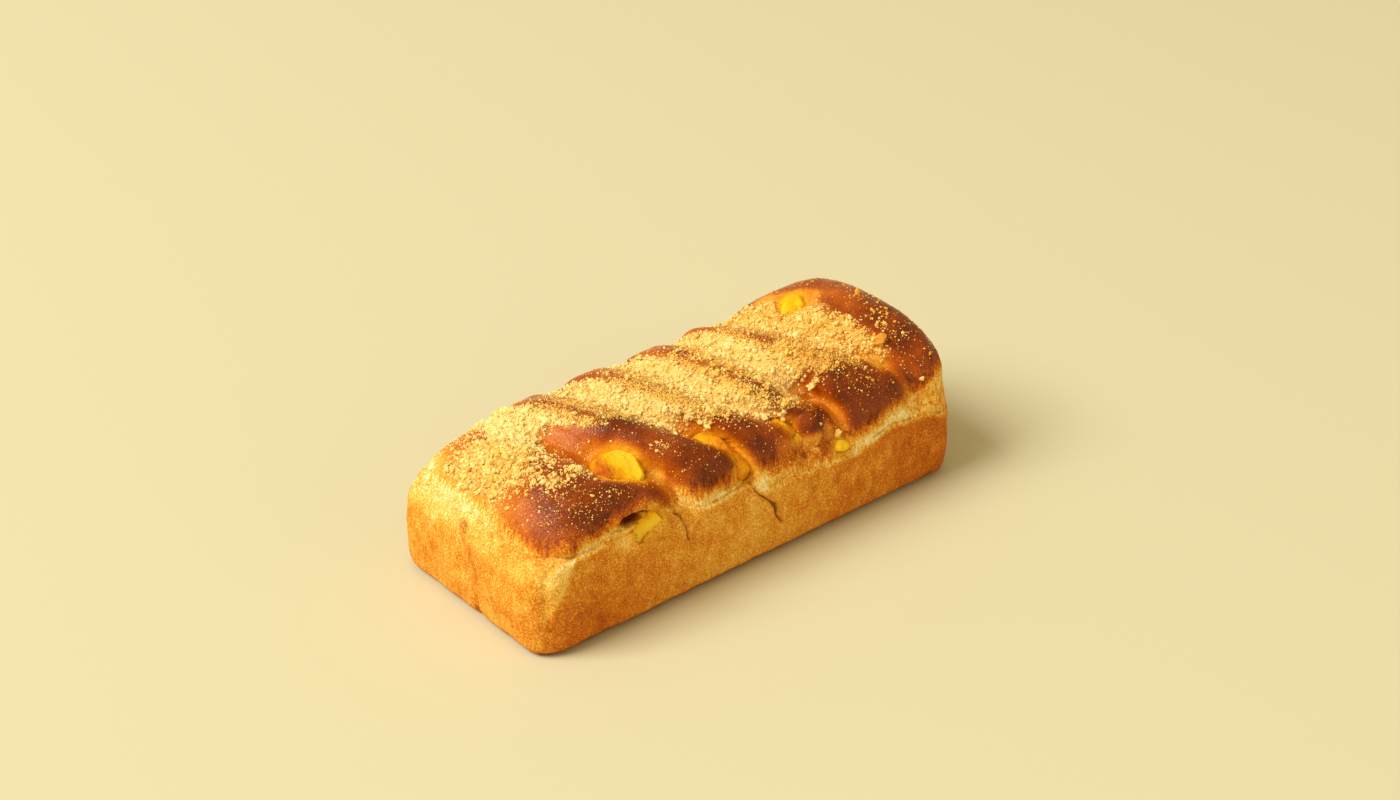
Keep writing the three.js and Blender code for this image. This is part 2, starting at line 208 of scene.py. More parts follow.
# Dough around the chestnut pieces
MARGIN = 8  # how far around a chestnut piece distances are worked out
WALL_OVER_CHESTNUT = 2.2  # thickest dough that breaks away over a chestnut piece in a wall
BREAK_DEPTH = 3
BREAK_INSIDE = 0.9  # how far inside a piece's outline the dough over it breaks away
BREAK_EDGE = Waves(1.2, 2.2)
TORN_LIP = {"height": 1.3, "width": 2.5, "until": -40}  # raised edge of torn skin, up to a place along X
POCKET_GRAIN = 3.5  # width of the unevenness of a pocket's edge
POCKET_LAP = (0.8, 1.6)  # how far dough laps over a piece, and by how much that varies
POCKET_COVER = 0.3
POCKET_DEPTH = 2.5
POCKET_RIM = {"height": 0.5, "at": 2.2, "width": 1.2}
POCKET_CLEAR = (0.5, 2)  # no streusel nearer than this, and all of it from here on
POCKET_BAKE = {"bake": 0.4, "reach": 2.5}
SYRUP_REACH = 2.2
SYRUP_ON_WALL = 0.5
UPRIGHT_BELOW = 47  # height up to which the front of the crown stands upright like the wall

# Unevenness of the baked skin
WALL_WAVES = Waves(0.35, 9)
CROWN_WAVES = Waves(0.6, 15)
WALL_GRAIN = 0.14
CROWN_GRAIN = 0.05
GRAIN_WIDTH = 2.2
STRETCH_RIDGES = 6  # ridges along a steep side, where the dough was pulled apart
STRETCH_HEIGHT = 0.3
STRETCH_WAVER = Waves(2, 12)

# How darkly the skin is baked, with painted shade and light at a few places: 0 is pale dough and 1 the
# darkest crust
CREST_BAKE = (0.7, 0.88)  # at the back and at the front, as in the next three
LEFT_CREST_BAKE = (0.4, 0.74)
GENTLE_SIDE_BAKE = (0.64, 0.57)
STEEP_SIDE_BAKE = (0.62, 0.43)
STEEP_SIDE_BROWNED = 0.8  # how far the tall end's steep side lost its golden colour
HOLLOW_BAKE = 0.44
CREST_CLOUDS = Waves(0.12, 16)
SPOT_CLOUDS = Waves(0.45, 6)
RIM_BAKE = 0.13  # the pale band under the crust
RIM_BAKE_ADDED = {"tall_end": 0.2, "short_strand": 0.22, "streaks": 0.1}
LEFT_RIM_BAKE = (0.3, 0.14)  # at the front and at the back
LEFT_RIM_BAKE_ADDED = {"fold": 0.06}
EDGE_STREAKS = 1.6  # how far the crust's edge runs out into streaks
EDGE_CLOUDS = Waves(1.5, 14)
EDGE_BAND = (-6.5, 2.5)  # heights below and above the edge between which the band turns into crust
STREAK_STRETCH = (1, 1, 0.25)
STREAK_WIDTH = 3
# Painted shade darkens the foot where the wall turns under; the paler strip along the near corner is partly
# painted light
WALL_BAKE_AND_SHADING = {"front": 0.43, "under_chestnut": 0.24, "left_end": 0.42, "near_corner": 0.27, "foot": 0.8}
# The walls darken along the creases as painted shade
WALL_BAKE_AND_SHADING_ADDED = {
    "right": 0.06, "right_end": 0.12, "middle": -0.05, "left": 0.05, "left_foot": 0.12, "crease_shade": 0.08,
}
SHOULDER_FADE = (3, 13)  # height of the change from crust to wall on the long walls and at the ends


class Spot(NamedTuple):
    """A patch of crust that is baked otherwise than what lies around it, a few with painted highlight and
    shade in them: its place, radius and bake.
    """

    place: tuple
    radius: float
    bake: float


SPOTS = (
    Spot((-66.9, -39.2, 54.3), 7, 0.95),
    # Paler spot right of the first chestnut piece: golden dough, partly a painted highlight
    Spot((-42, -33, 48.8), 4.5, 0.4),
    Spot((-36.8, -37, 50.5), 4.5, 0.74),
    Spot((15, -45, 45), 6, 0.58),
    # Paler left side of the knob: golden-brown crust with a painted highlight
    Spot((24, -38, 50.8), 4, 0.5),
    Spot((28.5, -33, 59), 5, 0.38),
    Spot((34, -36, 56), 5, 0.46),
    Spot((29, -41.4, 51.5), 5.5, 0.84),
    Spot((33.5, -42, 48.8), 4.5, 1),
    Spot((38.5, -43.5, 44), 4, 0.48),
    Spot((30.5, -44.6, 42.6), 5, 0.42),
    Spot((46, -39, 45), 4, 0.5),
    Spot((78, -30, 57), 7, 0.38),
    Spot((93, -40, 52), 9, 0.82),
    Spot((69, 29, 65), 7, 0.42),
    Spot((81, 14, 69), 5, 0.46),
    # Dark spot at the right edge of the fifth piece's hollow: painted shade
    Spot((77, 11.5, 67), 2.5, 0.75),
)


class Pit(NamedTuple):
    """A small pit in a wall: its place, radius and depth."""

    place: tuple
    radius: float
    depth: float


PITS = (
    Pit((27, -49, 24), 1.1, 0.9),
    Pit((58.5, -49, 24), 0.8, 0.5),
    Pit((-109, 4.5, 36.8), 2.0, 2.2),
    Pit((-109.7, 3.4, 35), 1.4, 1.4),
    Pit((-111.9, 22.4, 31.6), 0.7, 0.8),
    Pit((-112.6, 26.4, 17.2), 0.6, 0.7),
    Pit((-111.4, -13.2, 12.4), 0.6, 0.7),
    Pit((-110.8, -6, 3.5), 1.6, 1.5),
)

# Front edge of the streusel: how far forward it comes at places along the strands' columns
STREUSEL_FRONT = (
    (-111, 2), (-102, -6), (-93, -14), (-82, -11), (-70, -4), (-59, 6), (-53, 10), (-49, 2), (-45, -12),
    (-35, -15), (-18, -19), (-12, -27), (0, -31), (12, -33), (17, -35), (21, -36.5), (25, -36), (28, -26),
    (37, -23), (43, -27), (46, -33), (49, -40), (55, -38), (63, -28), (70, -22), (74, -25), (78, -22),
    (82, -15), (85, -3), (88, 12), (97, 25), (111, 40),
)
STREUSEL_BAYS = Waves(6, 9)
STREUSEL_FRAY = Waves(3, 3)
STREUSEL_FRINGE = (8, 15)  # width of its thin edge, and that on the first strand
STREUSEL_THINS_FROM = (17, 14)  # how far back it starts to thin on the first strand, and past it
STREUSEL_THIN_AT = 32
STREUSEL_MISSING = {"back": 0.95, "tall_end": 0.6, "ridges": 0.45}
STREUSEL_KEPT_IN_VALLEYS = 0.7  # share of the thinning at the back that the valleys escape
STREUSEL_TONE = 0.46
STREUSEL_TONE_ADDED = {"left": 0.1, "right": -0.2, "valleys": 0.26}
HEAPS = {"middle": 0.15, "short_strand": 0.85, "first_strand": 0.8}
HEAP_CLOUDS = Waves(0.3, 7)
LAYER_CLOUDS = (Waves(0.4, 6), Waves(0.4, 2.2))
LAYER_EDGE = (0.45, 0.8)
LAYER_OUTSIDE_HEAPS = 0.3  # how closed the layer is where it isn't heaped
LAYER_THICKNESS = 0.2
HEAP_THICKNESS = 0.6
LAYER_CRUMBS = Waves(0.9, 1.8)
FIRST_STRAND_SPRINKLE = 3  # how many times more loose crumbs lie on the first strand


class Lump(NamedTuple):
    """A lump of streusel that shows by itself: its place, radius and tone."""

    place: tuple
    radius: float
    tone: float


LARGE_LUMPS = (
    Lump((83.7, -26.3, 64.2), 3.2, 0.15),
    Lump((43.4, -44.6, 41.6), 1.8, 0.5),
    Lump((94.4, -1.4, 72.6), 1.6, 0.2),
    Lump((86.3, -21.5, 67.6), 1.3, 0.3),
    Lump((17.2, -30, 53.9), 2.0, 0.75),
    Lump((-24.2, -10, 58), 2.0, 0.7),
    Lump((6, -14.4, 62.4), 2.2, 0.6),
    Lump((12.2, -24.1, 61.2), 1.9, 0.65),
    Lump((1.9, -3.6, 63), 1.7, 0.6),
    Lump((32.7, -10.4, 59.2), 2.4, 0.55),
)


class CrumbKind(NamedTuple):
    """A size of crumb: the fineness of its ball, how craggy it is, and how many lie loose on bare crust."""

    fineness: int
    craggy: float
    loose: float


CRUMB_KINDS = {
    "lump": CrumbKind(2, 0.2, 0),
    "nugget": CrumbKind(1, 0.18, 0),
    "crumb": CrumbKind(1, 0.16, 0.0015),
    "grain": CrumbKind(1, 0.2, 0.009),
    "speck": CrumbKind(1, 0.22, 0.07),
}
CRUMB_CUTS = 4
CRUMB_CUT_AT = 0.6  # where a cut lies, as a share of the crumb's radius
CRUMB_STRETCH = (0.65, 1.25)
CRUMB_REACH = (0.6, 1.4)  # nearest and farthest that a corner of a crumb lies, in radii
CRUMB_SIZES = {"spread": 0.28, "least": 0.55, "most": 1.6}
CRUMB_TONES = {"paler": 0.08, "spread": 0.18}
CLUMPS = {"least": 0.3, "width": 5, "edge": (-0.25, 0.35)}
OUTSIDE_HEAPS = {"crumb": 0.05, "grain": 0.35}  # share of these that lies where nothing is heaped
CRUMBS_ON_FIRST_STRAND = 1.6
SPECKS = {"share": 0.4, "on_crust": 1.1, "lost_in_layer": 0.7}
CRUMB_NUDGE = 0.4  # how far crumbs lie beside the corners of the loaf's mesh
CRUMB_LIFT = 0.05  # how far a crumb's middle stands out, as a share of its radius


class Spill(NamedTuple):
    """A patch of streusel in front of the rest, or a bare patch if its share is below 0."""

    column: float
    y: float
    radius: float
    share: float


SPILLS = (
    Spill(-86, -22, 4, 0.7),
    Spill(-75, -22, 4, 0.7),
    Spill(-43, -31, 3, 0.7),
    Spill(-10, -25, 4, 0.55),
    Spill(-9, -31, 4, 0.5),
    Spill(12, -29, 2.5, 0.7),
    Spill(18.5, -36, 4, 0.6),
    Spill(17, -42, 4, -0.9),
    Spill(47, -13, 5, 0.6),
    Spill(46.5, -21, 5, 0.6),
    Spill(46, -29, 4.5, 0.55),
    Spill(53, -22, 5, 0.4),
    Spill(93.5, -3, 6, 0.5),
    Spill(90, -17, 5, 0.35),
    Spill(86, -25, 4, 0.3),
    Spill(84.5, -4.5, 5, -0.8),
    Spill(-79, 23, 3, -0.8),
)


class Shade(NamedTuple):
    """How pale a chestnut piece is at its middle, 0 to 1, and its rise per millimetre along X, Y and Z."""

    tone: float
    slope: tuple


CHESTNUT_SHADES = {
    "chestnut_1": Shade(0.55, (0.065, 0, 0)),
    # The second piece is made paler to make up for the front wall's shade, which is painted light;
    # it darkens towards its top for a browned band and the painted shadow of the torn skin over it
    "chestnut_2": Shade(0.85, (0.03, 0, -0.15)),
    # The third piece is darker: dough over it, and painted shade between the strands
    "chestnut_3": Shade(0.2, (0, 0, 0)),
    "chestnut_4": Shade(0.62, (0, 0, 0)),
    "chestnut_5": Shade(0.46, (0, 0, 0)),
    # The sixth piece is darker: dough over it, and painted shade from the strand beside it
    "chestnut_6": Shade(0.34, (0, 0, 0)),
}
CHESTNUT_WELD = 0.01  # corners nearer than this are one
CHESTNUT_SOFTENING = {"factor": 0.5, "repeat": 2}
CHESTNUT_LUMPS = (Waves(1, 6), Waves(0.5, 1.6))
CHESTNUT_NODES = tuple(sorted(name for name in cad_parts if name.startswith("chestnut_")))

# Places of the settings' colours along a finish's tone
CRUST_TONES = {
    "pale": 0, "straw": 0.2, "gold": 0.36, "amber": 0.5, "russet": 0.68, "brown": 0.84, "dark": 1,
}
CHESTNUT_TONES = {"browned": 0, "shade": 0.25, "flesh": 0.5, "bright": 0.8}
STREUSEL_TONES = {"toasted": 0.05, "butter": 0.45, "cream": 0.9}
STREUSEL_ROUGHNESS = 0.92
SHADED_PAPER = 0.94  # brightness of the stage's darker patches

# Floor and lights, in metres
FLOOR_SIZE = 12
KEY_LIGHT = {"place": (-4, 1.375, 4.42), "size": 3.37, "colour": (0.98, 0.97, 0.96)}
FILL_LIGHT = {"place": (0.5, -2.2, 0.75), "size": 1.6, "colour": (1, 0.92, 0.72)}
LIGHTS_AIM = (0, 0, 0.03)
AMBIENT_COLOUR = (1, 0.86, 0.53, 1)

# Camera, fitted to the photograph
CAMERA_PLACE = (-0.49836, -0.59606, 0.49974)
CAMERA_AZIMUTH = math.radians(-40.31)
CAMERA_ELEVATION = math.radians(29.849)
CAMERA_LENS = 56.571
CAMERA_SENSOR = 36


def linear(red, green, blue):
    """Turn a colour as seen on screen, 0 to 255, into the shader's linear values."""
    def channel(value):
        share = value / 255
        return share / 12.92 if share <= 0.04045 else ((share + 0.055) / 1.055) ** 2.4
    return channel(red), channel(green), channel(blue)


def mix(low, high, share):
    """From the low value at no share to the high one at full share."""
    return low + (high - low) * share


def smooth(value, low, high):
    """A share that rises from 0 at the low value to 1 at the high one, softly at both ends."""
    share = np.clip((value - low) / (high - low), 0, 1)
    return share * share * (3 - 2 * share)


def bell(distance, width):
    """A share of 1 at no distance that falls softly to 0 over about twice the width."""
    return np.exp(-(distance / width) ** 2)


def clouds(points, size, octaves=3):
    """Soft noise of about -1 to 1 at each point, with features of this size."""
    return np.array([noise.fractal(point, 1, 2, octaves) for point in (points / size).tolist()])


def along_line(x, line):
    """Height of a line of places at each x."""
    places, heights = zip(*line)
    return np.interp(x, places, heights)


# Form of the loaf

class LoafForm:
    """Works out the loaf's skin from its sizes, on the grid of a block from -1 to 1."""

    def __init__(self, settings):
        self.half_length = settings.length / MM / 2
        self.half_width = settings.width / MM / 2
        self.rim = settings.rim_height / MM

    def groove_x(self, groove, y):
        to_front = np.clip((self.half_width - y) / (2 * self.half_width), 0, 1)
        return groove.back + (groove.front - groove.back) * to_front ** groove.bend

    def groove_depth(self, groove, y):
        front, middle, back = groove.depths
        across = np.clip(y / self.half_width, -1, 1)
        return np.where(across < 0, mix(middle, front, -across), mix(middle, back, across))

    def slashes(self, x, y):
        """Depth of the relief, and how far each point is down a steep side, a gentle side or a hollow."""
        rim_share = smooth(np.abs(y), RIM_REGION * self.half_width, self.half_width)
        narrowing = mix(1, RIM_NARROWING, rim_share)
        relief = np.zeros_like(x)
        steep = np.zeros_like(x)
        gentle = np.zeros_like(x)
        for groove in GROOVES:
            offset = (x - self.groove_x(groove, y)) / narrowing
            away = np.hypot(offset, groove.softness) - groove.softness
            reach = np.where(offset < 0, groove.gentle, groove.steep)
            side = np.maximum(0, 1 - away / reach) ** 2
            relief = np.maximum(relief, self.groove_depth(groove, y) * side)
            steep = np.maximum(steep, np.where(offset < 0, 0, side))
            gentle = np.maximum(gentle, np.where(offset < 0, side, 0))
        hollow = np.zeros_like(x)
        for dent in HOLLOWS:
            share = bell(np.hypot(x - dent.x, y - dent.y), dent.radius)
            relief = relief + dent.depth * share
            hollow = np.maximum(hollow, share * (dent.radius > GOLDEN_HOLLOW))
        return relief, steep, gentle, hollow

    def strand_height(self, x, y):
        height = np.full_like(x, STRAND_HEIGHTS[0])
        for groove, next_height in zip(GROOVES, STRAND_HEIGHTS[1:]):
            share = smooth(x - self.groove_x(groove, y), -STRAND_BLEND, STRAND_BLEND)
            height = mix(height, next_height, share)
        return height

    def end_fall(self, x):
        def fall(inside, end):
            q = np.clip(1 - inside / end["run"], 0, 1)
            return (1 - q ** end["power"]) ** (1 / end["power"])
        return fall(x + self.half_length, LEFT_END) * fall(self.half_length - x, RIGHT_END)

    def even_column(self, s):
        column = self.half_length * np.sin(s * END_SPACING) / math.sin(END_SPACING)
        return np.clip(column, -self.half_length, self.half_length)

    def column_x(self, column, y):
        """Columns follow the grooves: the one at a groove's middle runs along its bottom."""
        stations = [(groove.front + groove.back) / 2 for groove in GROOVES]
        stations = np.array([-self.half_length, *stations, self.half_length])
        ends = np.full_like(y, self.half_length)
        bottoms = np.stack([-ends, *(self.groove_x(groove, y) for groove in GROOVES), ends])
        after = np.clip(np.searchsorted(stations, column), 1, len(stations) - 1)
        share = (column - stations[after - 1]) / (stations[after] - stations[after - 1])
        each = np.arange(len(column))
        return mix(bottoms[after - 1, each], bottoms[after, each], share)

    def round_corners(self, x, y, radius):
        """Turn a rectangle into one with round corners, and give the way out at its edge."""
        u = np.clip((np.abs(x) - self.half_length + radius) / radius, 0, 1)
        v = np.clip((np.abs(y) - self.half_width + radius) / radius, 0, 1)
        round_x = np.minimum(np.abs(x), self.half_length - radius) + radius * u * np.sqrt(1 - v * v / 2)
        round_y = np.minimum(np.abs(y), self.half_width - radius) + radius * v * np.sqrt(1 - u * u / 2)
        out = np.stack([u * np.sign(x), v * np.sign(y)], axis=1)
        out /= np.maximum(np.linalg.norm(out, axis=1, keepdims=True), NEARLY_ZERO)
        return np.sign(x) * round_x, np.sign(y) * round_y, out

    def inset_x(self, x, share):
        left = CRUST_INSET_LEFT * smooth(-x, self.half_length - INSET_RUN_LEFT, self.half_length)
        right = CRUST_OVERHANG_RIGHT * smooth(x, self.half_length - INSET_RUN_RIGHT, self.half_length)
        return x + share * (left + right)

    def inset_y(self, y, share):
        return y * (1 - share * CRUST_INSET / self.half_width)

    def skin(self, grid):
        """The loaf's skin at each grid point: places in millimetres and what lies there."""
        s, t, w = grid.T
        angle = t * math.pi / 2
        y = self.half_width * np.sign(t) * np.abs(np.sin(angle)) ** (2 / ARCH_POWER)
        column = self.even_column(s)
        x = self.column_x(column, y)
        relief, steep, gentle, hollow = self.slashes(x, y)
        on_crown = w > NEARLY_TOP
        crown = self.crown(x, y, angle, relief)
        wall, out = self.wall(x, y, relief, (w + 1) / 2)
        valley = np.maximum(smooth(steep, *VALLEY_STEEP), smooth(gentle, *VALLEY_GENTLE))
        between = (1 - smooth(steep, *RIDGE_ENDS)) * (1 - smooth(gentle, *RIDGE_ENDS))
        past_first_strand = smooth(column, -55, -45)
        return {
            "points": np.where(on_crown[:, None], crown, wall),
            "valley": np.where(on_crown, valley, 0),
            "ridge": between * past_first_strand,
            "out": out,
            "column": column,
            "on_crown": on_crown,
            "steep": np.where(on_crown, steep, 0),
            "gentle": np.where(on_crown, gentle, 0),
            "hollow": np.where(on_crown, hollow, 0),
        }

    def crown(self, x, y, angle, relief):
        round_x, round_y, _ = self.round_corners(x, y, CORNER_AT_RIM)
        arch = np.abs(np.cos(angle)) ** (2 / ARCH_POWER) * self.end_fall(x)
        fullness = np.minimum(1, RELIEF_RISE * arch)
        inward = relief * mix(RIM_SHARE, 1, fullness)
        return np.stack([
            self.inset_x(round_x, 1),
            self.inset_y(round_y, 1) - inward * np.sin(angle),
            self.rim + self.strand_height(x, y) * arch - inward * np.cos(angle) * fullness,
        ], axis=1)

    def wall(self, x, y, relief, level):
        z = level * self.rim
        round_x, round_y, out = self.round_corners(x, y, mix(CORNER_AT_FOOT, CORNER_AT_RIM, level))
        foot_gap = np.maximum(0, FOOT_RADIUS - z)
        foot = FOOT_RADIUS - np.sqrt(FOOT_RADIUS ** 2 - foot_gap ** 2)
        turn_in = 1 - np.sqrt(1 - np.clip(1 - (self.rim - z) / SHOULDER, 0, 1) ** 2)
        bulge = BELLY * np.abs(np.sin(math.pi * level)) ** BELLY_POWER - foot
        beside_fold = round_y - END_FOLD["y"] + END_FOLD["slant"] * (self.rim - z)
        fold = END_FOLD["depth"] * bell(beside_fold, END_FOLD["width"]) * smooth(z, *END_FOLD["foot"])
        fold = fold * np.maximum(0, -out[:, 0])
        tail = RIM_SHARE * smooth(z, self.rim - GROOVE_TAIL, self.rim) * relief
        wall_x = self.inset_x(round_x + out[:, 0] * bulge + fold, turn_in)
        wall_y = self.inset_y(round_y + out[:, 1] * (bulge - tail), turn_in)
        return np.stack([wall_x, wall_y, z], axis=1), out


# Meshes

def start_fresh():
    """Leave edit mode and deselect everything, so that an operator acts on the new piece alone."""
    if bpy.context.mode != "OBJECT":
        bpy.ops.object.mode_set(mode="OBJECT")
    bpy.ops.object.select_all(action="DESELECT")


def read_vectors(parts, name):
    """A vector of each vertex, normal or face, as the rows of an array."""
    vectors = np.empty(len(parts) * 3, dtype=np.float32)
    parts.foreach_get(name, vectors)
    return vectors.reshape(-1, 3).astype(float)


def read_points(mesh):
    return read_vectors(mesh.vertices, "co")


def write_points(mesh, points):
    mesh.vertices.foreach_set("co", points.astype(np.float32).ravel())
    mesh.update()


def read_normals(mesh):
    return read_vectors(mesh.vertex_normals, "vector")


def write_attribute(mesh, name, values):
    attribute = mesh.attributes.new(name, "FLOAT", "POINT")
    attribute.data.foreach_set("value", values.astype(np.float32))


def read_attribute(mesh, name):
    values = np.empty(len(mesh.vertices), dtype=np.float32)
    mesh.attributes[name].data.foreach_get("value", values)
    return values.astype(float)


def select_in_edit_mode(mesh, kind, chosen):
    """Select the chosen edges or faces alone, and open edit mode on them."""
    for part in (mesh.vertices, mesh.edges, mesh.polygons):
        part.foreach_set("select", np.zeros(len(part), dtype=bool))
    bpy.context.tool_settings.mesh_select_mode = (False, kind == "EDGE", kind == "FACE")
    part = mesh.edges if kind == "EDGE" else mesh.polygons
    part.foreach_set("select", chosen)
    bpy.ops.object.mode_set(mode="EDIT")


def edit_all(change):
    """Make a change to the whole mesh of the active piece in edit mode."""
    bpy.ops.object.mode_set(mode="EDIT")
    bpy.ops.mesh.select_all(action="SELECT")
    change()
    bpy.ops.object.mode_set(mode="OBJECT")


def split_edges(block, axis, parts):
    """Cut every edge of a block that runs along one axis into equal parts."""
    mesh = block.data
    ends = np.empty(len(mesh.edges) * 2, dtype=np.int32)
    mesh.edges.foreach_get("vertices", ends)
    points = read_points(mesh)
    run = np.abs(points[ends[0::2]] - points[ends[1::2]])
    select_in_edit_mode(mesh, "EDGE", run[:, axis] > run.sum(axis=1) / 2)
    bpy.ops.mesh.subdivide(number_cuts=parts - 1)
    bpy.ops.object.mode_set(mode="OBJECT")


def join_underside(block):
    """Dissolve the cut faces under a block into one flat face."""
    mesh = block.data
    normals = read_vectors(mesh.polygons, "normal")
    select_in_edit_mode(mesh, "FACE", normals[:, 2] < -FACING)
    bpy.ops.mesh.dissolve_faces(use_verts=False)
    bpy.ops.object.mode_set(mode="OBJECT")


def dress(piece, material):
    piece.data.materials.clear()
    piece.data.materials.append(material)
    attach(piece, "root")


# Relief and baking of the loaf's skin

def line_field(across, z, line):
    """Distance from a line of places, less than 0 on its other side, and how far along the line it is."""
    nearest = np.full_like(across, np.inf)
    place = np.zeros_like(across)
    for i, ((a0, z0), (a1, z1)) in enumerate(zip(line, line[1:])):
        along = ((across - a0) * (a1 - a0) + (z - z0) * (z1 - z0)) / ((a1 - a0) ** 2 + (z1 - z0) ** 2)
        share = np.clip(along, 0, 1)
        distance = np.hypot(across - mix(a0, a1, share), z - mix(z0, z1, share))
        side = np.where((a1 - a0) * (z - z0) > (z1 - z0) * (across - a0), 1, -1)
        closer = distance < np.abs(nearest)
        nearest = np.where(closer, side * distance, nearest)
        place = np.where(closer, i + share, place)
    return nearest, place


def crack_field(skin):
    """Distance from the nearest crack of the front wall, below 0 on its other side, and its half width."""
    x, _, z = skin["points"].T
    wobble = CRACK_WOBBLE.at(skin["points"])
    field = np.full_like(x, FAR)
    half = np.zeros_like(x)
    for crack in CRACKS:
        distance, place = line_field(x + wobble, z, [corner[:2] for corner in crack])
        closer = np.abs(distance) < np.abs(field)
        between_ends = (place > 0) & (place < len(crack) - 1)
        width = np.interp(place, range(len(crack)), [corner[2] for corner in crack]) * between_ends
        field = np.where(closer, distance, field)
        half = np.where(closer, width, half)
    return np.where(skin["out"][:, 1] < -FACING, field, FAR), half


def crease_field(skin):
    """Distance from the creases of the left end and the near corner."""
    x, y, z = skin["points"].T
    end, _ = line_field(y + CREASE_WOBBLE.at(skin["points"]), z, END_CREASE)
    corner, _ = line_field(y, z, CORNER_CREASE)
    left = -skin["out"][:, 0]
    at_corner = (left > CORNER_CREASE_FACING) & (x < CORNER_CREASE_UNTIL)
    end = np.where(left > END_CREASE_FACING, end, FAR)
    corner = np.where(at_corner, corner, FAR)
    nearest = np.where(np.abs(end) < np.abs(corner), end, corner)
    return np.clip(nearest, -FAR, FAR)


def pit_share(points):
    """How far each point is down a pit of the walls, and how deep that pit is there."""
    share = np.zeros(len(points))
    depth = np.zeros(len(points))
    for pit in PITS:
        inside = bell(np.linalg.norm(points - np.array(pit.place), axis=1), pit.radius)
        share = np.maximum(share, inside)
        depth = np.maximum(depth, pit.depth * inside)
    return share, depth


def seam_field(skin):
    """How far each point is below the seam between crust and wall, and how far the seam gapes there."""
    x, _, z = skin["points"].T
    below = along_line(x, SEAM) + SEAM_WOBBLE.at(skin["points"]) - z
    gape = np.zeros_like(x)
    for start, end in SEAM_OPEN:
        past_start = smooth(x, start - SEAM_FADE, start + SEAM_FADE)
        before_end = smooth(-x, -end - SEAM_FADE, -end + SEAM_FADE)
        gape = np.maximum(gape, past_start * before_end)
    on_long_wall = smooth(np.abs(skin["out"][:, 1]), 0.5, 0.9)
    return below, gape * on_long_wall


def knob_share(points):
    """How far each point is from the middle of the short strand's knob, as a share of its radius."""
    return np.linalg.norm(points - np.array(KNOB["place"]), axis=1) / KNOB["radius"]


def tear_depth(points):
    """How far the torn hole reaches into the front wall at each point."""
    offset = (points - np.array(TEAR["place"])) / np.array(TEAR["half"])
    flat = offset[:, 0] ** 2 + offset[:, 2] ** 2
    reach = TEAR["half"][1] * np.sqrt(np.maximum(0, 1 - flat))
    return np.where(np.abs(offset[:, 1]) < 1, reach, 0)


def chestnut_distance(points):
    """Distance in millimetres from each point to the nearest chestnut piece, less than 0 inside it."""
    distance = np.full(len(points), float(MARGIN))
    for name in CHESTNUT_NODES:
        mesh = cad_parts[name].data
        tree = BVHTree.FromPolygons([v.co for v in mesh.vertices], [p.vertices for p in mesh.polygons])
        low, high = (np.array(corner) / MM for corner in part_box(name))
        near = np.flatnonzero(np.all((points > low - MARGIN) & (points < high + MARGIN), axis=1))
        gaps = np.array([tree.find_nearest(Vector(point))[3] for point in points[near] * MM]) / MM
        outside = np.full(len(near), -np.inf)
        for face in mesh.polygons:
            offset = points[near] - np.array(face.center) / MM
            outside = np.maximum(outside, offset @ np.array(face.normal))
        distance[near] = np.minimum(distance[near], np.where(outside < 0, outside, gaps))
    return distance


def streusel_dust(skin):
    """How thickly the streusel lies at each point, from 0 to 1: thinner on the crests at the back."""
    points = skin["points"]
    y = points[:, 1]
    column = skin["column"]
    first_strand = smooth(-column, 60, 75)
    past_first_strand = smooth(column, -45, -25)
    left_end = smooth(-column, 80, 95)
    tall_end = smooth(column, 84, 92)
    above_shoulder = smooth(points[:, 2], 42, 47)
    behind = y - along_line(column, STREUSEL_FRONT) + STREUSEL_BAYS.at(points) + STREUSEL_FRAY.at(points)
    back = smooth(y, mix(*STREUSEL_THINS_FROM, past_first_strand), STREUSEL_THIN_AT)
    back = back * (1 - STREUSEL_KEPT_IN_VALLEYS * skin["valley"])
    dust = smooth(behind / mix(*STREUSEL_FRINGE, first_strand), -0.7, 1)
    dust = dust * (1 - STREUSEL_MISSING["back"] * back) * (1 - STREUSEL_MISSING["tall_end"] * tall_end)
    dust *= mix(1, above_shoulder, left_end)
    dust *= 1 - STREUSEL_MISSING["ridges"] * skin["ridge"]
    for spill in SPILLS:
        dust += spill.share * bell(np.hypot(column - spill.column, y - spill.y), spill.radius)
    return np.where(skin["on_crown"], np.clip(dust, 0, 1), 0)


def heaped_share(skin):
    """Where the streusel lies in heaps: in the valleys, on the broad first strand and along the middle."""
    column = skin["column"]
    y = skin["points"][:, 1]
    first_strand = smooth(-column, 52, 75)
    short_strand = bell(column - 24, 10)
    middle = bell(y + 4, 20) * (HEAPS["middle"] + HEAPS["short_strand"] * short_strand)
    heaped = np.maximum(np.maximum(skin["valley"], middle), HEAPS["first_strand"] * first_strand)
    for spill in SPILLS:
        away = np.hypot(column - spill.column, y - spill.y)
        heaped += max(spill.share, 0) * bell(away, spill.radius)
    return np.clip(heaped + HEAP_CLOUDS.at(skin["points"]), 0, 1) * skin["on_crown"]


def closed_layer(skin, dust, heaped):
    """Where the streusel lies as a closed layer, from 0 to 1."""
    ragged = sum(waves.at(skin["points"]) for waves in LAYER_CLOUDS)
    return smooth(dust * mix(LAYER_OUTSIDE_HEAPS, 1, heaped) + ragged, *LAYER_EDGE)


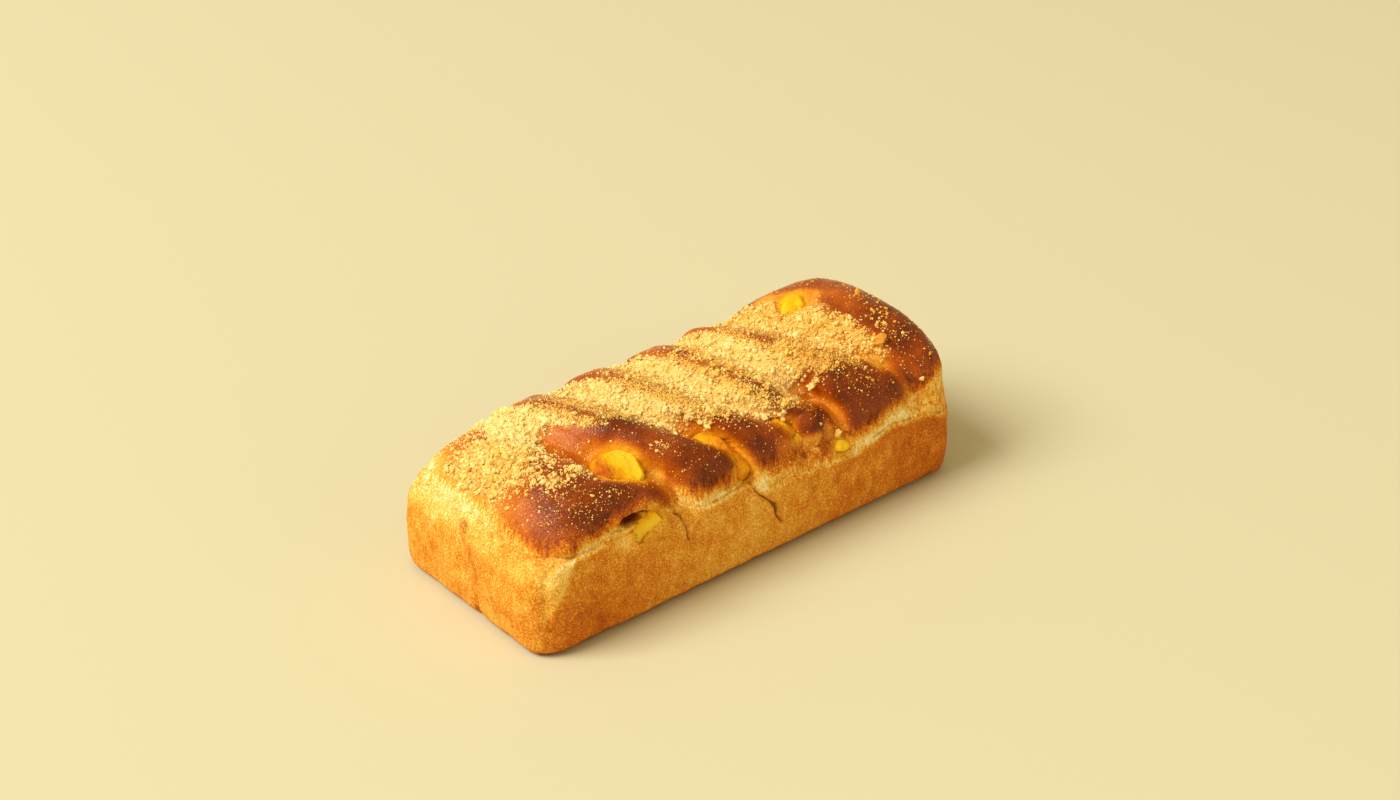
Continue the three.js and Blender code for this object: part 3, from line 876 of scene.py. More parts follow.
def press_relief(skin, normals, near_chestnut, upright, layer, heaped):
    """Move the skin for seam, cracks, pits, pockets, streusel and the unevenness of baked dough."""
    points = skin["points"]
    x, y, z = points.T
    crown = skin["on_crown"].astype(float)
    lift = mix(WALL_WAVES.at(points), CROWN_WAVES.at(points), crown)
    lift += mix(WALL_GRAIN, CROWN_GRAIN, crown) * clouds(points, GRAIN_WIDTH)
    below, gape = seam_field(skin)
    full, gone = SEAM_LEDGE["full"], SEAM_LEDGE["gone"]
    lift += SEAM_LEDGE["height"] * smooth(below, 0, full) * smooth(-below, -gone, -full)
    lift -= SEAM_DEPTH * bell(below, SEAM_WIDTH) * gape
    split, half = crack_field(skin)
    lift -= CRACK_DEPTH * bell(split, CRACK_SOFTNESS + half) * smooth(half, 0, CRACK_FULL)
    lift -= CREASE_DEPTH * bell(crease_field(skin), CREASE_WIDTH)
    lip, _ = line_field(x, z, (LIP["start"], LIP["end"]))
    lift += LIP["height"] * bell(lip, LIP["width"]) * smooth(-y, *LIP["front"])
    knob = knob_share(points)
    furrow = KNOB_FURROW["depth"] * bell(knob - KNOB_FURROW["at"], KNOB_FURROW["width"])
    lift += KNOB["height"] * np.clip(1 - knob ** 2, 0, 1) - furrow
    ridges = np.cos(STRETCH_RIDGES * skin["steep"] ** 0.5 * math.pi + STRETCH_WAVER.at(points))
    lift += STRETCH_HEIGHT * ridges * skin["steep"]
    lift += layer * (LAYER_THICKNESS + HEAP_THICKNESS * heaped + LAYER_CRUMBS.at(points))
    lift -= pit_share(points)[1]
    ragged = clouds(points, POCKET_GRAIN)
    lap = POCKET_LAP[0] + POCKET_LAP[1] * ragged
    lapped = ~upright & (near_chestnut < 0) & (near_chestnut > -lap)
    lift += np.where(lapped, POCKET_COVER - near_chestnut, 0)
    broken_out = near_chestnut < BREAK_EDGE.at(points) - BREAK_INSIDE
    torn = TORN_LIP["height"] * smooth(-near_chestnut, -TORN_LIP["width"], 0) * (x < TORN_LIP["until"])
    in_wall = np.where(broken_out, BREAK_DEPTH, -torn)
    in_crown = np.clip(-lap - near_chestnut, 0, POCKET_DEPTH)
    lift -= np.where(lapped, 0, np.where(upright, in_wall, in_crown))
    rim = bell(near_chestnut - POCKET_RIM["at"], POCKET_RIM["width"])
    lift += POCKET_RIM["height"] * (1 + ragged) * rim
    moved = points + normals * lift[:, None]
    moved[:, 1] += tear_depth(points)
    moved[:, 2] = np.maximum(moved[:, 2], 0)
    return moved


def crest_bake_and_shading(skin):
    """How darkly the strands are baked: dark on top, golden down their stretched sides and in hollows; a
    few spots add painted highlight and shade.
    """
    points = skin["points"]
    x, y, _ = points.T
    left_end = smooth(-x, 80, 106)
    tall_end = smooth(x, 80, 90) * smooth(-y, 20, 30)
    golden = smooth(-y, 2, 18) * (1 - STEEP_SIDE_BROWNED * smooth(x, 76, 84))
    steep = smooth(skin["steep"], 0.1, 0.8) * (1 - tall_end)
    crest = mix(*CREST_BAKE, smooth(-y, -25, 30)) + CREST_CLOUDS.at(points)
    crest = mix(crest, mix(*LEFT_CREST_BAKE, smooth(-y, 2, 34)), left_end)
    crest = mix(crest, mix(*GENTLE_SIDE_BAKE, smooth(-y, 10, 30)), smooth(skin["gentle"], 0.1, 0.7))
    crest = mix(crest, mix(*STEEP_SIDE_BAKE, golden), steep)
    crest = mix(crest, HOLLOW_BAKE, smooth(skin["hollow"], 0.25, 0.6))
    blotchy = 1 + SPOT_CLOUDS.at(points)
    for spot in SPOTS:
        away = np.linalg.norm(points - np.array(spot.place), axis=1) * blotchy
        crest = mix(crest, spot.bake, smooth(bell(away, spot.radius), 0.05, 0.8))
    return crest


def rim_bake(skin):
    """How darkly the pale band under the crust is baked."""
    x, y, _ = skin["points"].T
    left = np.maximum(0, -skin["out"][:, 0])
    tall_end = smooth(x, 75, 92)
    rim = RIM_BAKE + RIM_BAKE_ADDED["tall_end"] * tall_end
    rim = rim + RIM_BAKE_ADDED["short_strand"] * smooth(x, 0, 10) * smooth(-x, -46, -38)
    left_rim = mix(*LEFT_RIM_BAKE, smooth(y, -35, 20)) + LEFT_RIM_BAKE_ADDED["fold"] * bell(y + 4, 14)
    return mix(rim, left_rim, left)


def wall_bake_and_shading(skin):
    """How darkly the walls are baked: paler beside the broken chestnut piece, paler along the near corner,
    partly as painted light, and darker at the foot and in the creases as painted shade.
    """
    x, y, z = skin["points"].T
    left, front = np.maximum(0, -skin["out"]).T
    wall = WALL_BAKE_AND_SHADING["front"] + WALL_BAKE_AND_SHADING_ADDED["right"] * smooth(x, 10, 45)
    wall = wall + WALL_BAKE_AND_SHADING_ADDED["right_end"] * smooth(x, 50, 100)
    wall = wall + WALL_BAKE_AND_SHADING_ADDED["middle"] * bell(x + 8, 26)
    left_part = WALL_BAKE_AND_SHADING_ADDED["left"] + WALL_BAKE_AND_SHADING_ADDED["left_foot"] * smooth(-z, -34, -8)
    wall = wall + left_part * smooth(-x, 45, 85) * front
    under_chestnut = bell(np.hypot(x + 69, z - 38.5), 4.5)
    wall = mix(wall, WALL_BAKE_AND_SHADING["under_chestnut"], under_chestnut * front)
    wall = mix(wall, WALL_BAKE_AND_SHADING["left_end"], left)
    # Paler strip along the near corner: paler dough, partly painted light for the edge of a sharper corner
    corner_edge = mix(-108.5, -92, np.clip((z - 13) / 28, 0, 1))
    near_corner = smooth(corner_edge - x, -0.5, 2) * smooth(x, -109, -107.5) * smooth(-y, 38, 42)
    wall = mix(wall, WALL_BAKE_AND_SHADING["near_corner"], near_corner)
    # Painted shade along the creases
    wall = wall + WALL_BAKE_AND_SHADING_ADDED["crease_shade"] * bell(crease_field(skin), 1.2)
    # Painted shade at the foot, where the wall turns under to the floor
    return mix(wall, WALL_BAKE_AND_SHADING["foot"], smooth(-z, -4, -0.5))


def bake_and_shading_share(skin, near_chestnut):
    """How darkly each point is baked, with painted shade and light at a few places: 0 is pale dough and 1
    the darkest crust.
    """
    points = skin["points"]
    x, y, z = points.T
    streaks = clouds(points * np.array(STREAK_STRETCH), STREAK_WIDTH)
    edge = along_line(x, CRUST_EDGE) + EDGE_STREAKS * streaks + EDGE_CLOUDS.at(points)
    edge += LEFT_EDGE_RISE * smooth(y, -36, 5) * smooth(-x, 82, 98)
    pale = rim_bake(skin) + RIM_BAKE_ADDED["streaks"] * streaks
    crust = mix(pale, crest_bake_and_shading(skin), smooth(z - edge, *EDGE_BAND))
    below, _ = seam_field(skin)
    fade = mix(*SHOULDER_FADE, np.abs(skin["out"][:, 0]))
    bake = mix(crust, wall_bake_and_shading(skin), smooth(below / fade, -0.3, 1))
    return mix(bake, POCKET_BAKE["bake"], bell(np.maximum(near_chestnut, 0), POCKET_BAKE["reach"]))


# Materials

class Graph:
    """A material's node tree, with short ways to add the nodes that these finishes share."""

    def __init__(self, name):
        self.material = bpy.data.materials.new(name)
        self.material.use_nodes = True
        self.nodes = self.material.node_tree.nodes
        self.links = self.material.node_tree.links
        self.shader = self.nodes["Principled BSDF"]
        self.coordinates = self.nodes.new("ShaderNodeTexCoord").outputs["Object"]

    def put(self, socket, value):
        if isinstance(value, bpy.types.NodeSocket):
            self.links.new(value, socket)
        elif socket.type == "RGBA":
            socket.default_value = (*value, 1)
        else:
            socket.default_value = value

    def attribute(self, name):
        node = self.nodes.new("ShaderNodeAttribute")
        node.attribute_name = name
        return node.outputs["Fac"]

    def noise(self, size, detail=3, stretch=(1, 1, 1)):
        """Noise with features of this size in millimetres, around a half."""
        mapping = self.nodes.new("ShaderNodeMapping")
        mapping.inputs["Scale"].default_value = stretch
        self.put(mapping.inputs["Vector"], self.coordinates)
        node = self.nodes.new("ShaderNodeTexNoise")
        self.put(node.inputs["Vector"], mapping.outputs["Vector"])
        node.inputs["Scale"].default_value = 1 / (size * MM)
        node.inputs["Detail"].default_value = detail
        return node.outputs["Fac"]

    def math(self, operation, *values):
        node = self.nodes.new("ShaderNodeMath")
        node.operation = operation
        for socket, value in zip(node.inputs, values):
            self.put(socket, value)
        return node.outputs["Value"]

    def plus(self, first, second):
        return self.math("ADD", first, second)

    def minus(self, first, second):
        return self.math("SUBTRACT", first, second)

    def times(self, first, second):
        return self.math("MULTIPLY", first, second)

    def times_plus(self, first, second, third):
        return self.math("MULTIPLY_ADD", first, second, third)

    def shift(self, value, swing):
        """A noise around a half as a swing around zero."""
        return self.times(self.minus(value, 0.5), swing)

    def line(self, field, low, high):
        """Full along the middle of a field around zero, and gone past both its sides."""
        return self.minus(1, self.steps(self.math("ABSOLUTE", field), low, high))

    def steps(self, value, low, high, to_low=0, to_high=1):
        node = self.nodes.new("ShaderNodeMapRange")
        node.interpolation_type = "SMOOTHSTEP"
        for name, number in (("Value", value), ("From Min", low), ("From Max", high)):
            self.put(node.inputs[name], number)
        node.inputs["To Min"].default_value = to_low
        node.inputs["To Max"].default_value = to_high
        return node.outputs["Result"]

    def ramp(self, value, settings, stops):
        """The settings' colours along a tone, each at its place."""
        node = self.nodes.new("ShaderNodeValToRGB")
        elements = node.color_ramp.elements
        while len(elements) < len(stops):
            elements.new(1)
        for element, (name, place) in zip(elements, stops.items()):
            element.position = place
            element.color = (*getattr(settings, name), 1)
        self.put(node.inputs["Fac"], value)
        return node.outputs["Color"]

    def blend(self, share, first, second):
        node = self.nodes.new("ShaderNodeMix")
        node.data_type = "RGBA"
        self.put(node.inputs["Factor"], share)
        self.put(node.inputs[6], first)  # the colour sockets share their names with other kinds
        self.put(node.inputs[7], second)
        return node.outputs[2]

    def bump(self, height, distance, strength=1):
        node = self.nodes.new("ShaderNodeBump")
        node.inputs["Strength"].default_value = strength
        node.inputs["Distance"].default_value = distance * MM
        self.put(node.inputs["Height"], height)
        return node.outputs["Normal"]

    def finish(self, **sockets):
        for name, value in sockets.items():
            self.put(self.shader.inputs[name.replace("_", " ")], value)
        return self.material


def streusel_colour(graph, settings, grain, darker=0):
    tone = graph.minus(graph.attribute("tone"), darker)
    return graph.ramp(graph.plus(tone, graph.shift(grain, 0.6)), settings, STREUSEL_TONES)


def crust_tone(graph, bare, mottle, grain):
    """The bake with its unevenness: grain, blotches and pores, and streaks above the seam."""
    uneven = graph.plus(graph.shift(grain, 0.6), graph.shift(graph.noise(0.45, 2), 0.5))
    uneven = graph.plus(uneven, graph.shift(graph.noise(3.2, 3, (1, 1, 0.5)), 0.22))
    above_seam = graph.times(bare, graph.steps(graph.attribute("seam"), 0, 3, 1, 0))
    streaks = graph.times(graph.shift(graph.noise(1.1, 2, (1, 1, 0.18)), 0.6), above_seam)
    uneven = graph.plus(uneven, streaks)
    pores = graph.times(graph.steps(graph.noise(0.75, 2), 0.62, 0.72), 0.16)
    toned = graph.plus(graph.plus(graph.attribute("bake"), pores), graph.shift(mottle, 0.34))
    return graph.times_plus(uneven, graph.times_plus(bare, 0.8, 0.5), toned)


def seam_shade(graph):
    """Where the seam under the crust gapes, with breaks in it."""
    broken = graph.times(graph.attribute("gape"), graph.steps(graph.noise(6, 2), 0.4, 0.58))
    return graph.times(graph.times(graph.line(graph.attribute("seam"), 0.1, 0.9), broken), 0.5)


def crack_shade(graph, grain):
    """Painted shade in the depth of the cracks, as wide as they are open, and in the holes."""
    half = graph.attribute("split_half")
    split = graph.plus(graph.attribute("split"), graph.shift(grain, 0.4))
    crack = graph.line(split, graph.times(half, 0.5), graph.times(half, 1.4))
    crack = graph.times(crack, graph.steps(half, 0.02, 0.08))
    return graph.math("MAXIMUM", graph.times(crack, 0.78), graph.attribute("hole"))


def streusel_cover(graph, fine):
    """Where streusel hides the crust: a closed layer, and scattered crumbs around it."""
    patchy = graph.plus(graph.minus(fine, 0.32), graph.shift(graph.noise(4, 2), 0.3))
    scattered = graph.times_plus(graph.attribute("dust"), 0.42, patchy)
    layer = graph.times_plus(graph.attribute("layer"), 0.72, graph.shift(fine, 1.4))
    layer = graph.steps(layer, 0.3, 0.55)
    return graph.math("MAXIMUM", layer, graph.times(graph.steps(scattered, 0.46, 0.6), 0.9))


def crust_material(settings, streusel):
    graph = Graph("baked crust")
    wash = graph.attribute("wash")
    bare = graph.minus(1, wash)
    mottle = graph.noise(10, 4)
    grain = graph.noise(0.8, 3)
    fine = graph.noise(0.7, 2)
    covered = streusel_cover(graph, fine)
    flour = graph.times(graph.steps(graph.noise(0.8, 2), 0.6, 0.72), graph.times(bare, 0.4))
    heaps = graph.times(graph.attribute("dust"), graph.attribute("heaped"))
    colour = graph.ramp(crust_tone(graph, bare, mottle, grain), settings, CRUST_TONES)
    for share, over in (
        (flour, settings.straw),
        (graph.times(graph.attribute("syrup"), 0.55), settings.syrup),
        (seam_shade(graph), settings.seam),
        (crack_shade(graph, grain), settings.crack),
        (graph.steps(heaps, 0.2, 0.9, 0, 0.6), streusel.toasted),
        (covered, streusel_colour(graph, streusel, fine, 0.12)),
    ):
        colour = graph.blend(share, colour, over)
    roughness = graph.plus(graph.times_plus(wash, -0.6, 0.84), graph.shift(mottle, 0.2))
    roughness = graph.times_plus(covered, graph.minus(STREUSEL_ROUGHNESS, roughness), roughness)
    height = graph.times_plus(graph.times(grain, bare), 0.9, graph.noise(0.7, 2))
    height = graph.times_plus(graph.times(fine, covered), 2, height)
    normal = graph.bump(height, 0.35, 0.7)
    return graph.finish(Base_Color=colour, Roughness=roughness, Normal=normal, Specular_IOR_Level=0.16)


def chestnut_material(settings):
    graph = Graph("candied chestnut")
    mottle = graph.noise(7, 3)
    grain = graph.noise(0.9, 3)
    toned = graph.plus(graph.shift(mottle, 0.8), graph.shift(grain, 0.35))
    colour = graph.ramp(graph.plus(graph.attribute("tone"), toned), settings, CHESTNUT_TONES)
    roughness = graph.steps(grain, 0.3, 0.7, 0.4, 0.58)
    normal = graph.bump(grain, 0.2, 0.5)
    return graph.finish(Base_Color=colour, Roughness=roughness, Normal=normal, Specular_IOR_Level=0.12)


def streusel_material(settings):
    graph = Graph("butter streusel")
    grain = graph.noise(0.8, 3)
    colour = streusel_colour(graph, settings, grain)
    normal = graph.bump(grain, 0.2, 0.6)
    return graph.finish(
        Base_Color=colour, Roughness=STREUSEL_ROUGHNESS, Normal=normal, Specular_IOR_Level=0.08,
    )


def stage_material(settings):
    graph = Graph("stage paper")
    patches = graph.plus(graph.shift(graph.noise(400, 2), 0.04), 0.02)
    shaded = tuple(SHADED_PAPER * value for value in settings.floor)
    colour = graph.blend(patches, settings.floor, shaded)
    return graph.finish(Base_Color=colour, Roughness=0.95, Specular_IOR_Level=0.1)


# Settings

def colour_setting(name, description, screen):
    return FloatVectorProperty(
        name=name, description=description, default=linear(*screen), subtype="COLOR", min=0, max=1,
    )


def size_setting(name, description, millimetres):
    return FloatProperty(name=name, description=description, default=millimetres * MM, min=0, unit="LENGTH")


def count_setting(name, description, count):
    return IntProperty(name=name, description=description, default=count, min=0)


class BreadLoafSettings(bpy.types.PropertyGroup):
    """Sizes and colours of the loaf."""

    length: size_setting("Length", "Length of the loaf at the tin's rim", 221)
    width: size_setting("Width", "Width of the loaf at the tin's rim", 94)
    rim_height: size_setting("Rim height", "Height of the tin's rim", 40.4)
    pale: colour_setting("Pale dough", "Dough that the heat hardly reached", (255, 238, 188))
    straw: colour_setting("Straw", "Lightly baked dough", (246, 202, 100))
    gold: colour_setting("Gold", "Walls that lay against the tin", (236, 168, 52))
    amber: colour_setting("Amber", "Sides of the strands", (216, 124, 24))
    russet: colour_setting("Russet", "Well baked crust", (184, 86, 12))
    brown: colour_setting("Brown", "Brown crust", (142, 60, 13))
    dark: colour_setting("Dark crust", "Darkest crust", (98, 40, 13))
    syrup: colour_setting("Syrup", "Dough stained by chestnut syrup", (238, 172, 18))
    seam: colour_setting("Seam", "Shade in the seam under the crust", (134, 82, 30))
    # The crack colour is painted shade: the dark depth of the cracks, of the torn hole and of the pits
    crack: colour_setting("Crack", "Depth of the cracks", (104, 36, 2))


class BreadChestnutSettings(bpy.types.PropertyGroup):
    """Finish of the chestnut pieces."""

    lump: size_setting("Lump", "Unevenness of a chestnut piece", 0.35)
    grid: size_setting("Grid", "Fineness of a chestnut piece's mesh", 0.45)
    browned: colour_setting("Browned", "Flesh that the heat browned", (178, 86, 14))
    shade: colour_setting("Shade", "Darker flesh", (232, 150, 12))
    flesh: colour_setting("Flesh", "Flesh of the candied chestnut", (251, 194, 18))
    bright: colour_setting("Bright", "Palest flesh", (255, 212, 48))


class BreadStreuselSettings(bpy.types.PropertyGroup):
    """Sizes, counts and colours of the streusel."""

    lumps: count_setting("Lumps", "Number of large lumps", 240)
    nuggets: count_setting("Nuggets", "Number of small lumps", 1800)
    crumbs: count_setting("Crumbs", "Number of middling crumbs", 4200)
    grains: count_setting("Grains", "Number of small grains", 9500)
    specks: count_setting("Specks", "Number of finest specks", 6500)
    lump_radius: size_setting("Lump radius", "Radius of the usual lump", 1.25)
    nugget_radius: size_setting("Nugget radius", "Radius of the usual small lump", 0.95)
    crumb_radius: size_setting("Crumb radius", "Radius of the usual crumb", 0.7)
    grain_radius: size_setting("Grain radius", "Radius of the usual grain", 0.42)
    speck_radius: size_setting("Speck radius", "Radius of the usual speck", 0.23)
    heap: size_setting("Heap", "How far crumbs pile up where the streusel lies thickest", 0.35)
    seed: IntProperty(name="Seed", description="Seed of the scatter", default=7)
    toasted: colour_setting("Toasted", "Streusel that browned", (226, 148, 42))
    butter: colour_setting("Butter", "Usual streusel", (244, 196, 92))
    cream: colour_setting("Cream", "Palest streusel", (252, 226, 150))


class BreadStageSettings(bpy.types.PropertyGroup):
    """Floor, lights and camera."""

    floor: colour_setting("Floor", "Colour of the floor", (217, 208, 170))
    key: FloatProperty(name="Key light", description="Power of the key light", default=418, unit="POWER")
    fill: FloatProperty(name="Fill light", description="Power of the fill light", default=6, unit="POWER")
    ambient: FloatProperty(name="Ambient", description="Strength of the light from all round", default=0.51)


# Pieces

def skin_attributes(skin, near_chestnut):
    """What the crust's finish and the streusel need to know about each point of the loaf's skin."""
    points = skin["points"]
    x, _, z = points.T
    on_crown = skin["on_crown"]
    above_edge = z - along_line(x, CRUST_EDGE)
    first_strand = smooth(-skin["column"], 45, 70)
    clear = smooth(near_chestnut, *POCKET_CLEAR) * on_crown
    dust = streusel_dust(skin) * smooth(above_edge, 1, 5) * clear
    heaped = heaped_share(skin)
    below, gape = seam_field(skin)
    split, split_half = crack_field(skin)
    pits, _ = pit_share(points)
    tone = STREUSEL_TONE + STREUSEL_TONE_ADDED["left"] * smooth(-x, 0, 90)
    tone = tone + STREUSEL_TONE_ADDED["right"] * smooth(x, 35, 65)
    return {
        # The bake carries painted shade and light at a few places as well
        "bake": bake_and_shading_share(skin, near_chestnut),
        "wash": smooth(above_edge, 0, 6) * on_crown,
        "seam": np.clip(below, -FAR, FAR),
        "gape": gape,
        "split": split,
        "split_half": split_half,
        # Painted shade in the torn hole, growing with its depth, and in the pits
        "hole": np.maximum(np.clip(tear_depth(points) / TEAR_DARK, 0, 1), PIT_SHADE * pits),
        "syrup": bell(np.maximum(near_chestnut, 0), SYRUP_REACH) * np.where(on_crown, 1, SYRUP_ON_WALL),
        "dust": dust,
        "layer": closed_layer(skin, dust, heaped) * clear,
        "heaped": heaped,
        "sprinkled": smooth(above_edge, 2, 7) * clear * mix(1, FIRST_STRAND_SPRINKLE, first_strand),
        "tone": tone + STREUSEL_TONE_ADDED["valleys"] * skin["valley"],
    }


def make_loaf(settings):
    """Cut a block into a fine grid, move it into the loaf's form and press the relief into its skin."""
    start_fresh()
    bpy.ops.mesh.primitive_cube_add(size=2)
    loaf = bpy.context.object
    loaf.name = "baked_loaf"
    for axis, parts in BLOCK_CUTS:
        split_edges(loaf, axis, parts)
    join_underside(loaf)
    skin = LoafForm(settings).skin(read_points(loaf.data))
    write_points(loaf.data, skin["points"] * MM)
    z = skin["points"][:, 2]
    upright = ~skin["on_crown"] | ((skin["out"][:, 1] < -FACING) & (z < UPRIGHT_BELOW))
    inward = WALL_OVER_CHESTNUT * upright[:, None] * skin["out"]
    near_chestnut = chestnut_distance(skin["points"] - np.pad(inward, ((0, 0), (0, 1))))
    attributes = skin_attributes(skin, near_chestnut)
    for name, values in attributes.items():
        write_attribute(loaf.data, name, values)
    layer, heaped = attributes["layer"], attributes["heaped"]
    moved = press_relief(skin, read_normals(loaf.data), near_chestnut, upright, layer, heaped)
    write_points(loaf.data, moved * MM)
    bpy.ops.object.shade_smooth()
    return loaf


def make_chestnut(name, settings):
    """Soften the cut edges of a copy of a CAD chestnut piece and give it an uneven skin."""
    start_fresh()
    piece = bpy.data.objects.new("candied_" + name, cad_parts[name].data.copy())
    bpy.context.collection.objects.link(piece)
    piece.select_set(True)
    bpy.context.view_layer.objects.active = piece
    edit_all(lambda: bpy.ops.mesh.remove_doubles(threshold=CHESTNUT_WELD * MM))
    piece.data.remesh_voxel_size = settings.grid
    bpy.ops.object.voxel_remesh()
    edit_all(lambda: bpy.ops.mesh.vertices_smooth(**CHESTNUT_SOFTENING))
    points = read_points(piece.data)
    normals = read_normals(piece.data)
    lift = settings.lump * sum(waves.at(points / MM) for waves in CHESTNUT_LUMPS)
    shade = CHESTNUT_SHADES[name]
    from_middle = points / MM - np.mean(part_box(name), axis=0) / MM
    write_attribute(piece.data, "tone", np.clip(shade.tone + from_middle @ np.array(shade.slope), 0, 1))
    write_points(piece.data, points + normals * lift[:, None])
    bpy.ops.object.shade_smooth()
    return piece


def ball_arrays(fineness):
    """Corners and faces of a ball of triangles, which the streusel's crumbs are shaped from."""
    start_fresh()
    bpy.ops.mesh.primitive_ico_sphere_add(subdivisions=fineness, radius=1)
    ball = bpy.context.object
    corners = read_points(ball.data)
    faces = np.array([face.vertices for face in ball.data.polygons])
    bpy.data.objects.remove(ball)
    return corners, faces


def turns(count, rng):
    """Random turns, as matrices."""
    q = rng.normal(size=(count, 4))
    w, x, y, z = (q / np.linalg.norm(q, axis=1, keepdims=True)).T
    return np.stack([
        np.stack([1 - 2 * (y * y + z * z), 2 * (x * y - z * w), 2 * (x * z + y * w)], axis=1),
        np.stack([2 * (x * y + z * w), 1 - 2 * (x * x + z * z), 2 * (y * z - x * w)], axis=1),
        np.stack([2 * (x * z - y * w), 2 * (y * z + x * w), 1 - 2 * (x * x + y * y)], axis=1),
    ], axis=1)


def cut_flat(shapes, rng):
    """Cut each crumb flat on a few sides, as broken streusel is."""
    for _ in range(CRUMB_CUTS):
        way = rng.normal(size=(len(shapes), 1, 3))
        way /= np.linalg.norm(way, axis=2, keepdims=True)
        past = np.sum(shapes * way, axis=2, keepdims=True) - CRUMB_CUT_AT
        shapes = shapes - way * np.maximum(past, 0)
    return shapes


def scatter(name, ball, places, radii, tones, rng, craggy):
    """Join one uneven crumb for each place into a single mesh."""
    corners, faces = ball
    count = len(places)
    reach = 1 + craggy * rng.normal(size=(count, len(corners), 1))
    stretch = rng.uniform(*CRUMB_STRETCH, size=(count, 1, 3))
    shapes = cut_flat(corners[None] * np.clip(reach, *CRUMB_REACH) * stretch, rng) * radii[:, None, None]
    points = np.einsum("nij,nvj->nvi", turns(count, rng), shapes) + places[:, None]
    joined = faces[None] + (np.arange(count) * len(corners))[:, None, None]
    mesh = bpy.data.meshes.new(name)
    mesh.from_pydata(points.reshape(-1, 3).tolist(), [], joined.reshape(-1, 3).tolist())
    write_attribute(mesh, "tone", np.repeat(tones, len(corners)))
    piece = bpy.data.objects.new(name, mesh)
    bpy.context.collection.objects.link(piece)
    return piece


def crust_sites(loaf, weight, count, rng):
    """Places on the loaf's skin and the ways out of it, more of them where the weight is higher."""
    chosen = rng.choice(len(weight), size=count, p=weight / weight.sum())
    normals = read_normals(loaf.data)[chosen]
    nudge = rng.normal(scale=CRUMB_NUDGE * MM, size=(count, 3))
    nudge -= normals * np.sum(nudge * normals, axis=1, keepdims=True)
    return read_points(loaf.data)[chosen] + nudge, normals, chosen


def crumb_weights(loaf, clump):
    """How many crumbs of each kind lie at each point of the loaf, as weights."""
    names = ("dust", "layer", "heaped", "sprinkled")
    dust, layer, heaped, sprinkled = (read_attribute(loaf.data, name) for name in names)
    first_strand = smooth(-read_points(loaf.data)[:, 0], 50 * MM, 70 * MM)
    coarse = dust * (OUTSIDE_HEAPS["crumb"] + heaped) * clump
    weights = {
        "lump": layer * heaped * clump ** 2,
        "nugget": layer * heaped * clump,
        "crumb": coarse * mix(1, CRUMBS_ON_FIRST_STRAND, first_strand),
        "grain": dust * mix(OUTSIDE_HEAPS["grain"], 1, heaped),
        "speck": SPECKS["share"] * dust * (SPECKS["on_crust"] - SPECKS["lost_in_layer"] * layer),
    }
    return {kind: weight + CRUMB_KINDS[kind].loose * sprinkled for kind, weight in weights.items()}


def make_streusel(loaf, settings):
    """Scatter one mesh of each kind of crumb, with the lumps that stand out among the largest."""
    rng = np.random.default_rng(settings.seed)
    layer = read_attribute(loaf.data, "layer")
    tone = read_attribute(loaf.data, "tone")
    patches = clouds(read_points(loaf.data) / MM, CLUMPS["width"])
    clump = CLUMPS["least"] + smooth(patches, *CLUMPS["edge"])
    for kind, weight in crumb_weights(loaf, clump).items():
        count = getattr(settings, kind + "s")
        places, normals, chosen = crust_sites(loaf, weight, count, rng)
        sizes = np.exp(rng.normal(scale=CRUMB_SIZES["spread"], size=count))
        sizes = np.clip(sizes, CRUMB_SIZES["least"], CRUMB_SIZES["most"])
        radii = getattr(settings, kind + "_radius") * sizes
        heap = settings.heap * layer[chosen] * clump[chosen] * rng.uniform(size=count)
        places = places + normals * (CRUMB_LIFT * radii + heap)[:, None]
        tones = np.clip(rng.normal(tone[chosen] + CRUMB_TONES["paler"], CRUMB_TONES["spread"]), 0, 1)
        if kind == "lump":
            for i, lump in enumerate(LARGE_LUMPS):
                places[i] = np.array(lump.place) * MM
                radii[i] = lump.radius * MM
                tones[i] = lump.tone
        ball = ball_arrays(CRUMB_KINDS[kind].fineness)
        yield scatter(f"streusel_{kind}s", ball, places, radii, tones, rng, CRUMB_KINDS[kind].craggy)


def aim(place, target):
    return (Vector(target) - Vector(place)).to_track_quat("-Z", "Y").to_euler()


def make_softbox(name, power, place, size, colour):
    bpy.ops.object.light_add(type="AREA", location=place, rotation=aim(place, LIGHTS_AIM))
    light = bpy.context.object
    light.name = name
    light.data.size = size
    light.data.energy = power
    light.data.color = colour


def make_stage(settings):
    start_fresh()
    bpy.ops.mesh.primitive_plane_add(size=FLOOR_SIZE)
    floor = bpy.context.object
    floor.name = "stage_floor"
    floor.data.materials.append(stage_material(settings))
    make_softbox("key_softbox", settings.key, **KEY_LIGHT)
    make_softbox("fill_softbox", settings.fill, **FILL_LIGHT)
    world = bpy.data.worlds.new("studio")
    world.use_nodes = True
    background = world.node_tree.nodes["Background"]
    background.inputs["Color"].default_value = AMBIENT_COLOUR
    background.inputs["Strength"].default_value = settings.ambient
    bpy.context.scene.world = world
    bpy.context.scene.view_settings.view_transform = "Standard"
    bpy.ops.object.camera_add(location=CAMERA_PLACE)
    camera = bpy.context.object
    camera.name = "photo_camera"
    camera.rotation_euler = (math.pi / 2 - CAMERA_ELEVATION, 0, CAMERA_AZIMUTH)
    camera.data.sensor_width = CAMERA_SENSOR
    camera.data.lens = CAMERA_LENS
    bpy.context.scene.camera = camera


# Operators and panel

class BREAD_OT_loaf(bpy.types.Operator):
    """Bake the loaf and let it stand for the CAD loaf"""

    bl_idname = "bread.loaf"
    bl_label = "Bake the loaf"

    def execute(self, context):
        settings = context.scene.bread_loaf
        loaf = make_loaf(settings)
        dress(loaf, crust_material(settings, context.scene.bread_streusel))
        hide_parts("loaf")
        return {"FINISHED"}


